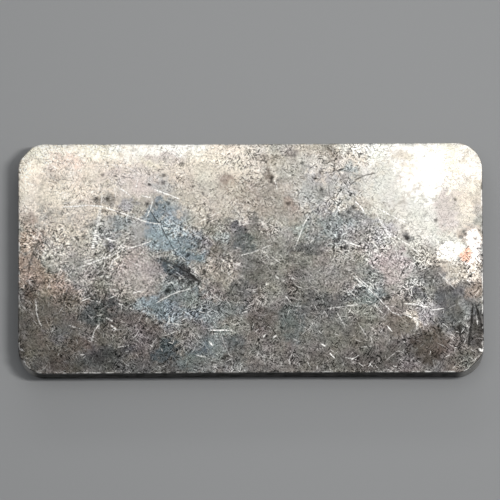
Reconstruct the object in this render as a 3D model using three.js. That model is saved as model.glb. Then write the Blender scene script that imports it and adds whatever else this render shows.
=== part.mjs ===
// A small plain silver bar: one struck blank, with round corners and no marks on its faces.
//
// Millimetres. +X along the bar, +Y across it, +Z up. The bar lies flat, and the origin is
// under the middle of it, on the surface that it lies on.
//
// The bar is one loft. Its outline in plan is a list of stations, each a point with the
// direction that faces away from the bar there. Its section is a list of levels, each a height
// with how far the metal has drawn in from the outline at that height. Each level makes a ring,
// and the rings are skinned and closed with a flat face at each end.

import * as THREE from 'three';

// Overall size
const length = 50.0;
const width = 25.0;
const thickness = 3.85;

// Plan
const cornerRadius = 2.9;
const sideWaist = 0.1; // how far the middle of a long side lies inside its ends

// Section
const shoulderReach = 0.18; // the rolled edge of the upper face, inwards from the wall
const shoulderDrop = 0.15; // and downwards from the face
const heelRadius = 0.12; // the eased edge of the lower face

// Knocks: bruises that a corner took in handling. Each is centred on a corner's arc, at an
// angle counted from +X, and pushes the upper edge in by its depth. It fades to nothing at its
// reach along the outline and at the foot of the wall.
const knocks = [
  { endX: 1, sideY: -1, angle: -38, depth: 0.22, reach: 1.5 },
  { endX: -1, sideY: 1, angle: 146, depth: 0.13, reach: 0.8 },
];

// Facets
const cornerSteps = 14; // along the arc of one corner
const longSideSteps = 18;
const shortSideSteps = 8;
const shoulderSteps = 6;
const heelSteps = 3;

const silver = new THREE.MeshStandardMaterial({
  name: 'silver',
  color: new THREE.Color().setRGB(0.62, 0.61, 0.58),
  roughness: 0.36,
  metalness: 1.0,
});

// The centre of the arc of the corner on the given end and side.
function cornerCentre(endX, sideY) {
  return new THREE.Vector2(
    endX * (length / 2 - cornerRadius),
    sideY * (width / 2 - cornerRadius),
  );
}

// Stations round one corner, anticlockwise, both ends of the arc included.
function cornerStations(endX, sideY, startAngle) {
  const centre = cornerCentre(endX, sideY);
  const stations = [];
  for (let step = 0; step <= cornerSteps; step += 1) {
    const angle = startAngle + (Math.PI / 2) * (step / cornerSteps);
    const outward = new THREE.Vector2(Math.cos(angle), Math.sin(angle));
    const point = centre.clone().addScaledVector(outward, cornerRadius);
    stations.push({ point, outward });
  }
  return stations;
}

// Stations between two corners, both of them left out. The side bows in by waist at its middle.
function sideStations(from, to, steps, waist) {
  const along = to.point.clone().sub(from.point);
  const outward = new THREE.Vector2(along.y, -along.x).normalize();
  const stations = [];
  for (let step = 1; step < steps; step += 1) {
    const share = step / steps;
    const point = from.point.clone().addScaledVector(along, share);
    point.addScaledVector(outward, -waist * Math.sin(Math.PI * share) ** 2);
    stations.push({ point, outward });
  }
  return stations;
}

// The whole outline, anticlockwise seen from above.
function outlineStations() {
  const corners = [
    cornerStations(1, 1, 0),
    cornerStations(-1, 1, Math.PI / 2),
    cornerStations(-1, -1, Math.PI),
    cornerStations(1, -1, Math.PI * 1.5),
  ];
  return corners.flatMap((corner, index) => {
    const next = corners[(index + 1) % corners.length];
    const isLongSide = index % 2 === 0;
    const steps = isLongSide ? longSideSteps : shortSideSteps;
    const waist = isLongSide ? sideWaist : 0;
    return [...corner, ...sideStations(corner.at(-1), next[0], steps, waist)];
  });
}

// The section from the lower face to the upper one: heel, wall, rolled shoulder.
function sectionLevels() {
  const levels = [];
  for (let step = 0; step <= heelSteps; step += 1) {
    const angle = (Math.PI / 2) * (step / heelSteps);
    levels.push({
      z: heelRadius * (1 - Math.cos(angle)),
      inset: heelRadius * (1 - Math.sin(angle)),
    });
  }
  for (let step = 0; step <= shoulderSteps; step += 1) {
    const angle = (Math.PI / 2) * (step / shoulderSteps);
    levels.push({
      z: thickness - shoulderDrop * (1 - Math.sin(angle)),
      inset: shoulderReach * (1 - Math.cos(angle)),
    });
  }
  return levels;
}

// How far the knocks push the outline in at a point of it, measured at the upper edge.
function knockDepth(point) {
  return knocks.reduce((depth, knock) => {
    const angle = THREE.MathUtils.degToRad(knock.angle);
    const centre = cornerCentre(knock.endX, knock.sideY);
    const middle = new THREE.Vector2(Math.cos(angle), Math.sin(angle))
      .multiplyScalar(cornerRadius)
      .add(centre);
    const share = Math.min(point.distanceTo(middle) / knock.reach, 1);
    return depth + (knock.depth * (1 + Math.cos(Math.PI * share))) / 2;
  }, 0);
}

// Skins the rings and closes them with a fan of triangles on each face.
function barGeometry() {
  const stations = outlineStations();
  const levels = sectionLevels();
  const count = stations.length;
  const positions = [];
  const indices = [];

  levels.forEach(({ z, inset }) => {
    stations.forEach(({ point, outward }) => {
      const pushedIn = inset + knockDepth(point) * (z / thickness);
      const place = point.clone().addScaledVector(outward, -pushedIn);
      positions.push(place.x, place.y, z);
    });
  });
  const lowerMiddle = positions.length / 3;
  positions.push(0, 0, 0);
  const upperMiddle = positions.length / 3;
  positions.push(0, 0, thickness);

  const topRing = (levels.length - 1) * count;
  for (let station = 0; station < count; station += 1) {
    const next = (station + 1) % count;
    for (let level = 0; level < levels.length - 1; level += 1) {
      const below = level * count;
      const above = below + count;
      indices.push(below + station, below + next, above + next);
      indices.push(below + station, above + next, above + station);
    }
    indices.push(lowerMiddle, next, station);
    indices.push(upperMiddle, topRing + station, topRing + next);
  }

  const geometry = new THREE.BufferGeometry();
  geometry.setAttribute('position', new THREE.Float32BufferAttribute(positions, 3));
  geometry.setIndex(indices);
  geometry.computeVertexNormals();
  return geometry;
}

const ingot = new THREE.Mesh(barGeometry(), silver);
ingot.name = 'ingot';

const bar = new THREE.Group();
bar.add(ingot);

export default bar;
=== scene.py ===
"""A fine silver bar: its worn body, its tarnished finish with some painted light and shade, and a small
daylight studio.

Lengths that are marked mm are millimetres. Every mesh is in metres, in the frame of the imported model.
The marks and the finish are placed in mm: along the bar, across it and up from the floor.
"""

from __future__ import annotations

import logging
import math
import random
from collections.abc import Callable, Mapping, Sequence
from dataclasses import dataclass, field
from enum import Enum
from itertools import pairwise

import bmesh
import bpy
import numpy as np
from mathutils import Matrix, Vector, noise


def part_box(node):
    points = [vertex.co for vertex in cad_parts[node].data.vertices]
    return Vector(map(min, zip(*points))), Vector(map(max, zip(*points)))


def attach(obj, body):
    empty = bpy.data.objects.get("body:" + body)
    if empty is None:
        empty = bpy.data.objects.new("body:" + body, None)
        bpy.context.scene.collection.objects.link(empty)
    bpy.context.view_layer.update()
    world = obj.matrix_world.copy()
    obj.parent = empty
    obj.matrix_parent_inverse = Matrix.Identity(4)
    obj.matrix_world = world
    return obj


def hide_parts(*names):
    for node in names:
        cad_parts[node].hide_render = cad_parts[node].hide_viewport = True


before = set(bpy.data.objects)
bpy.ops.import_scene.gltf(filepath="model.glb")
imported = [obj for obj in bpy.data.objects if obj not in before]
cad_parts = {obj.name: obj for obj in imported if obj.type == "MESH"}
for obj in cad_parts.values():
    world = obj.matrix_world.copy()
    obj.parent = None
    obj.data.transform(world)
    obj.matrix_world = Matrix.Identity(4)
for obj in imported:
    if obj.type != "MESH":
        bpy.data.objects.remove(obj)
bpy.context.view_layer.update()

log = logging.getLogger("silver_bar")

MM = 0.001
NEAR = 0.001 * MM
NODE = "ingot"
BODY = "root"

Point = tuple[float, float]
Place = tuple[float, float, float]
Span = tuple[float, float]
Ramp = tuple[float, float, float, float]
Colour = tuple[float, float, float]
Feed = bpy.types.NodeSocket | float | Sequence[float]


# ---------------------------------------------------------------- node sheets and shared effects


class Sheet:
    """One node tree, with short calls that add and wire its nodes."""

    ROWS = 9
    STEP = (210, 190)

    def __init__(self, tree: bpy.types.NodeTree) -> None:
        """Starts on an empty tree.

        Args:
            tree: The node tree that takes the nodes.
        """
        self.tree = tree

    def plug(self, socket: bpy.types.NodeSocket, feed: Feed) -> None:
        """Links a socket to another, or writes a plain value on it.

        Args:
            socket: The input that is fed.
            feed: A socket, a number, or the numbers of a vector or colour.
        """
        if isinstance(feed, bpy.types.NodeSocket):
            self.tree.links.new(feed, socket)
        elif isinstance(feed, (int, float)):
            socket.default_value = feed
        else:
            numbers = tuple(feed)
            room = len(socket.default_value)
            socket.default_value = numbers if len(numbers) == room else (*numbers, 1.0)

    def add(
        self, kind: str, feeds: Mapping[str | int, Feed] | None = None, **settings: object
    ) -> bpy.types.Node:
        """Adds one node in the next free place.

        Args:
            kind: Blender's name of the node type, without the words ShaderNode.
            feeds: What goes into each input, by its name or number.
            settings: Values of the node's own options.

        Returns:
            The new node.
        """
        node = self.tree.nodes.new(f"ShaderNode{kind}")
        column, row = divmod(len(self.tree.nodes), self.ROWS)
        node.location = (column * self.STEP[0], -row * self.STEP[1])
        for name, value in settings.items():
            setattr(node, name, value)
        for name, feed in (feeds or {}).items():
            self.plug(node.inputs[name], feed)
        return node

    def math(self, operation: str, *feeds: Feed) -> bpy.types.NodeSocket:
        """Works out one number.

        Args:
            operation: The operation of the Math node.
            feeds: One to three numbers or sockets.

        Returns:
            The result's socket.
        """
        return self.add("Math", dict(enumerate(feeds)), operation=operation).outputs[0]

    def vector(self, operation: str, *feeds: Feed, scale: Feed | None = None) -> bpy.types.NodeSocket:
        """Works out one vector, or the number that a length or product gives.

        Args:
            operation: The operation of the Vector Math node.
            feeds: One or two vectors or sockets.
            scale: The factor of a SCALE operation.

        Returns:
            The result's socket.
        """
        inputs = dict(enumerate(feeds))
        if scale is not None:
            inputs["Scale"] = scale
        node = self.add("VectorMath", inputs, operation=operation)
        gives_number = operation in {"LENGTH", "DISTANCE", "DOT_PRODUCT"}
        return node.outputs["Value" if gives_number else "Vector"]

    def ease(self, value: Feed, empty: Feed, full: Feed) -> bpy.types.NodeSocket:
        """Gives a mask that rises smoothly from 0 to 1.

        Args:
            value: The number that is read.
            empty: Where the mask is 0.
            full: Where the mask is 1.

        Returns:
            The mask's socket.
        """
        feeds = {"Value": value, "From Min": empty, "From Max": full}
        return self.add("MapRange", feeds, interpolation_type="SMOOTHSTEP", clamp=False).outputs["Result"]

    def between(self, share: Feed, least: float, most: float) -> bpy.types.NodeSocket:
        """Gives a number that runs from the least to the most as a share runs from 0 to 1."""
        return self.math("MULTIPLY_ADD", share, most - least, least)

    def remap(
        self, value: Feed, low: float, high: float, to_low: Feed, to_high: Feed
    ) -> bpy.types.NodeSocket:
        """Carries a number from one range to another, clamped at both ends.

        Args:
            value: The number that is read.
            low: The start of its range.
            high: The end of its range.
            to_low: What the start becomes.
            to_high: What the end becomes.

        Returns:
            The result's socket.
        """
        feeds = {"Value": value, "From Min": low, "From Max": high, "To Min": to_low, "To Max": to_high}
        return self.add("MapRange", feeds).outputs["Result"]

    def turned(self, point: Feed, angle: Feed) -> bpy.types.NodeSocket:
        """Turns a point about the upright axis by an angle in radians."""
        feeds = {"Vector": point, "Angle": angle}
        return self.add("VectorRotate", feeds, rotation_type="Z_AXIS").outputs[0]

    def tint(self, amount: Feed, under: Feed, over: Feed, mode: str = "MIX") -> bpy.types.NodeSocket:
        """Lays one colour over another.

        Args:
            amount: How much of the upper colour shows.
            under: The lower colour.
            over: The upper colour.
            mode: The blending mode.

        Returns:
            The mixed colour's socket.
        """
        feeds = {0: amount, 6: under, 7: over}
        node = self.add("Mix", feeds, data_type="RGBA", blend_type=mode, clamp_factor=True)
        return node.outputs[2]

    def noise(
        self, point: Feed, size: float, detail: float = 0.0, rough: float = 0.5
    ) -> bpy.types.NodeSocket:
        """Gives soft noise between 0 and 1.

        Args:
            point: Where the noise is read, mm.
            size: The width of one blotch, mm.
            detail: How many finer layers it has.
            rough: How strong the finer layers are.

        Returns:
            The noise's socket.
        """
        feeds = {"Vector": point, "Scale": 1.0 / size, "Detail": detail, "Roughness": rough}
        return self.add("TexNoise", feeds).outputs[0]


@dataclass(frozen=True)
class Port:
    """One named input or output of a shared effect."""

    name: str
    kind: str = "Float"
    value: float | tuple[float, ...] | None = None

    def open(self, tree: bpy.types.NodeTree, way: str) -> None:
        """Makes the socket on a group's interface.

        Args:
            tree: The group.
            way: INPUT or OUTPUT.
        """
        socket = tree.interface.new_socket(self.name, in_out=way, socket_type=f"NodeSocket{self.kind}")
        if self.value is not None and way == "INPUT":
            socket.default_value = self.value


POINT = Port("Point", "Vector")


class Effect:
    """A shader node group that is drawn once and placed wherever it is needed."""

    title = "Effect"
    takes: tuple[Port, ...] = (POINT,)
    gives: tuple[Port, ...] = (Port("Mask"),)

    def draw(self, sheet: Sheet, given: Mapping[str, bpy.types.NodeSocket]) -> tuple[Feed, ...]:
        """Draws the effect's nodes.

        Args:
            sheet: The group's own sheet.
            given: The group's inputs by name.

        Returns:
            What feeds each output, in the order of gives.
        """
        raise NotImplementedError

    def tree(self) -> bpy.types.NodeTree:
        """Finds the group, or makes it the first time.

        Returns:
            The group's node tree.
        """
        known = bpy.data.node_groups.get(self.title)
        if known is not None:
            return known
        tree = bpy.data.node_groups.new(self.title, "ShaderNodeTree")
        for port in self.takes:
            port.open(tree, "INPUT")
        for port in self.gives:
            port.open(tree, "OUTPUT")
        sheet = Sheet(tree)
        entry = tree.nodes.new("NodeGroupInput")
        results = self.draw(sheet, {socket.name: socket for socket in entry.outputs if socket.name})
        leaving = tree.nodes.new("NodeGroupOutput")
        leaving.location = ((len(tree.nodes) // sheet.ROWS + 1) * sheet.STEP[0], 0)
        for port, result in zip(self.gives, results):
            sheet.plug(leaving.inputs[port.name], result)
        return tree

    def place(self, sheet: Sheet, **feeds: Feed) -> bpy.types.NodeSocket:
        """Puts the group into a sheet with its own values.

        Args:
            sheet: Where the group goes.
            feeds: What goes into each input, by its name in small letters.

        Returns:
            The group's first output.
        """
        node = sheet.add("Group", node_tree=self.tree())
        for name, feed in feeds.items():
            sheet.plug(node.inputs[name.replace("_", " ").title()], feed)
        return node.outputs[0]


class OutlineInset(Effect):
    """How far inside the bar's rounded outline a point lies, mm."""

    title = "Outline Inset"
    takes = (POINT, Port("Half Size", "Vector"), Port("Corner"))
    gives = (Port("Inset"),)

    def draw(self, sheet: Sheet, given: Mapping[str, bpy.types.NodeSocket]) -> tuple[Feed, ...]:
        """Measures a box with round corners.

        Args:
            sheet: The group's own sheet.
            given: The group's inputs by name.

        Returns:
            How far inside the outline the point lies.
        """
        flat = sheet.vector("MULTIPLY", given["Point"], (1, 1, 0))
        radii = sheet.add("CombineXYZ", {0: given["Corner"], 1: given["Corner"]}).outputs[0]
        core = sheet.vector("SUBTRACT", given["Half Size"], radii)
        past = sheet.vector("SUBTRACT", sheet.vector("ABSOLUTE", flat), core)
        outside = sheet.vector("LENGTH", sheet.vector("MAXIMUM", past, (0, 0, 0)))
        parts = sheet.add("SeparateXYZ", {0: past})
        inside = sheet.math("MINIMUM", sheet.math("MAXIMUM", parts.outputs[0], parts.outputs[1]), 0.0)
        return (sheet.math("SUBTRACT", given["Corner"], sheet.math("ADD", outside, inside)),)


class Warp(Effect):
    """A point that is carried off its place by soft noise, so that what it reads wanders."""

    title = "Warp"
    takes = (POINT, Port("Size", value=1.0), Port("Reach", value=0.1))
    gives = (Port("Point", "Vector"),)

    def draw(self, sheet: Sheet, given: Mapping[str, bpy.types.NodeSocket]) -> tuple[Feed, ...]:
        """Adds coloured noise to the point.

        Args:
            sheet: The group's own sheet.
            given: The group's inputs by name.

        Returns:
            The moved point.
        """
        scale = sheet.math("DIVIDE", 1.0, given["Size"])
        drift = sheet.add("TexNoise", {"Vector": given["Point"], "Scale": scale, "Detail": 1.0})
        offset = sheet.vector("SUBTRACT", drift.outputs["Color"], (0.5, 0.5, 0.5))
        return (sheet.vector("ADD", given["Point"], sheet.vector("SCALE", offset, scale=given["Reach"])),)


class Hairlines(Effect):
    """Long fine lines that run one way, broken where the tool skipped."""

    title = "Hairlines"
    FADE = 0.09
    takes = (
        POINT,
        Port("Turn"),
        Port("Length", value=2.0),
        Port("Width", value=0.1),
        Port("Threshold", value=0.6),
        Port("Seed"),
    )

    def draw(self, sheet: Sheet, given: Mapping[str, bpy.types.NodeSocket]) -> tuple[Feed, ...]:
        """Stretches noise along the lines.

        Args:
            sheet: The group's own sheet.
            given: The group's inputs by name.

        Returns:
            The mask of the lines.
        """
        turned = sheet.turned(given["Point"], given["Turn"])
        sizes = {0: given["Length"], 1: given["Width"], 2: given["Length"]}
        stretched = sheet.vector("DIVIDE", turned, sheet.add("CombineXYZ", sizes).outputs[0])
        shift = sheet.add("CombineXYZ", {2: given["Seed"]}).outputs[0]
        grain = sheet.noise(sheet.vector("ADD", stretched, shift), 1.0, detail=0.5, rough=0.6)
        full = sheet.math("ADD", given["Threshold"], self.FADE)
        return (sheet.ease(grain, given["Threshold"], full),)


class Strokes(Effect):
    """Short straight scratches, one to a cell, each with its own place, turn and length.

    Places and lengths are shares of a cell.
    """

    title = "Strokes"
    JITTER = 0.3
    LENGTHS = (0.12, 0.36)
    TAPER = 0.55
    CORE = 0.2
    VIGOUR = (0.35, 1.0)
    takes = (
        POINT,
        Port("Turn"),
        Port("Pitch", value=1.0),
        Port("Width", value=0.05),
        Port("Spread", value=3.14),
        Port("Share", value=0.8),
        Port("Seed"),
    )

    def draw(self, sheet: Sheet, given: Mapping[str, bpy.types.NodeSocket]) -> tuple[Feed, ...]:
        """Draws one tapering bar in each cell.

        Args:
            sheet: The group's own sheet.
            given: The group's inputs by name.

        Returns:
            The mask of the strokes.
        """
        turned = sheet.turned(given["Point"], given["Turn"])
        gauge = sheet.math("DIVIDE", 1.0, given["Pitch"])
        cells = sheet.vector("SCALE", sheet.vector("MULTIPLY", turned, (1, 1, 0)), scale=gauge)
        corner = sheet.vector("FLOOR", cells)
        shift = sheet.add("CombineXYZ", {2: given["Seed"]}).outputs[0]
        drawn = {"Vector": sheet.vector("ADD", corner, shift)}
        chance = sheet.add("TexWhiteNoise", drawn, noise_dimensions="3D").outputs
        length, vigour, angle = sheet.add("SeparateColor", {0: chance["Color"]}).outputs
        local = sheet.vector("SUBTRACT", sheet.vector("SUBTRACT", cells, corner), (0.5, 0.5, 0))
        jitter = sheet.vector("SUBTRACT", chance["Color"], (0.5, 0.5, 0.5))
        moved = sheet.vector("SUBTRACT", local, sheet.vector("SCALE", jitter, scale=self.JITTER))
        angle = sheet.math("MULTIPLY", sheet.math("SUBTRACT", angle, 0.5), given["Spread"])
        own = sheet.add("SeparateXYZ", {0: sheet.turned(moved, angle)}).outputs
        reach = sheet.between(length, *self.LENGTHS)
        along = sheet.ease(sheet.math("ABSOLUTE", own[0]), reach, sheet.math("MULTIPLY", reach, self.TAPER))
        half_width = sheet.math("MULTIPLY", given["Width"], gauge)
        core = sheet.math("MULTIPLY", half_width, self.CORE)
        across = sheet.ease(sheet.math("ABSOLUTE", own[1]), half_width, core)
        there = sheet.math("LESS_THAN", chance["Value"], given["Share"])
        shown = sheet.math("MULTIPLY", there, sheet.between(vigour, *self.VIGOUR))
        return (sheet.math("MULTIPLY", sheet.math("MULTIPLY", along, across), shown),)


class Pits(Effect):
    """Small round hollows, one to a cell where chance puts one."""

    title = "Pits"
    SIZES = (0.4, 1.0)
    CORE = 0.4
    takes = (POINT, Port("Pitch", value=0.5), Port("Radius", value=0.3), Port("Share", value=0.3))

    def draw(self, sheet: Sheet, given: Mapping[str, bpy.types.NodeSocket]) -> tuple[Feed, ...]:
        """Reads the distance to scattered points.

        Args:
            sheet: The group's own sheet.
            given: The group's inputs by name.

        Returns:
            The mask of the pits.
        """
        scale = sheet.math("DIVIDE", 1.0, given["Pitch"])
        cells = sheet.add("TexVoronoi", {"Vector": given["Point"], "Scale": scale}, voronoi_dimensions="2D")
        chance = sheet.add("SeparateColor", {0: cells.outputs["Color"]}).outputs
        radius = sheet.math("MULTIPLY", given["Radius"], sheet.between(chance[1], *self.SIZES))
        dot = sheet.ease(cells.outputs["Distance"], radius, sheet.math("MULTIPLY", radius, self.CORE))
        return (sheet.math("MULTIPLY", dot, sheet.math("LESS_THAN", chance[0], given["Share"])),)


class Oval(Effect):
    """A soft, long oval that is laid over a mask, so that scratches gather one by one.

    Along and Across are its axes, each divided by its half size. OUTER and INNER are the squared
    distances where it ends and where it is full.
    """

    title = "Oval"
    OUTER = 1.69
    INNER = 0.49
    takes = (
        POINT,
        Port("Over"),
        Port("Centre", "Vector"),
        Port("Along", "Vector"),
        Port("Across", "Vector"),
        Port("Strength", value=1.0),
    )

    def draw(self, sheet: Sheet, given: Mapping[str, bpy.types.NodeSocket]) -> tuple[Feed, ...]:
        """Measures the squared distance in the oval's own axes.

        Args:
            sheet: The group's own sheet.
            given: The group's inputs by name.

        Returns:
            The mask with the oval laid over it.
        """
        away = sheet.vector("SUBTRACT", given["Point"], given["Centre"])
        along = sheet.vector("DOT_PRODUCT", away, given["Along"])
        across = sheet.vector("DOT_PRODUCT", away, given["Across"])
        square = sheet.math("MULTIPLY_ADD", across, across, sheet.math("MULTIPLY", along, along))
        shape = sheet.math("MULTIPLY", sheet.ease(square, self.OUTER, self.INNER), given["Strength"])
        return (sheet.math("MAXIMUM", given["Over"], shape),)


# ---------------------------------------------------------------- the marks on the bar, mm


class Tone(Enum):
    """Plain colours of the metal and of what lies on it."""

    BARE = (0.93, 0.92, 0.90)
    SOOT = (0.02, 0.019, 0.018)


BRIGHTEST = 0.92
TARNISH_STEP = 0.21


class Hue(Enum):
    """Colours of tarnish and frosting: how strong red and blue are against green."""

    BLUE = (0.84, 1.11)
    TEAL = (0.93, 0.98)
    GREY = (1.01, 0.97)
    MAUVE = (1.13, 0.98)
    VIOLET = (1.03, 1.02)
    STONE = (1.05, 0.91)
    SAND = (1.10, 0.87)
    ROSE = (1.10, 0.94)
    BROWN = (1.17, 0.86)
    COPPER = (1.27, 0.83)
    CORAL = (1.70, 0.72)
    STRAW = (1.06, 0.86)
    IVORY = (1.02, 0.93)

    def colour(self, steps: int) -> Colour:
        """Gives the hue after some tarnish.

        Args:
            steps: How many steps of tarnish, each about a fifth darker than the last.

        Returns:
            The colour.
        """
        red, blue = self.value
        level = BRIGHTEST * (1 - TARNISH_STEP) ** steps
        return (red * level, level, blue * level)


@dataclass(frozen=True)
class Stain:
    """One soft stain, frosted place or patch of painted highlight on the upper face, mm, with its own steps
    of tarnish.
    """

    centre: Point
    half: Point
    hue: Hue
    steps: int
    turn: float = 0.0


# the stains run from dark at the near side to pale at the far side; that rise is partly tarnish and partly
# painted light
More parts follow.
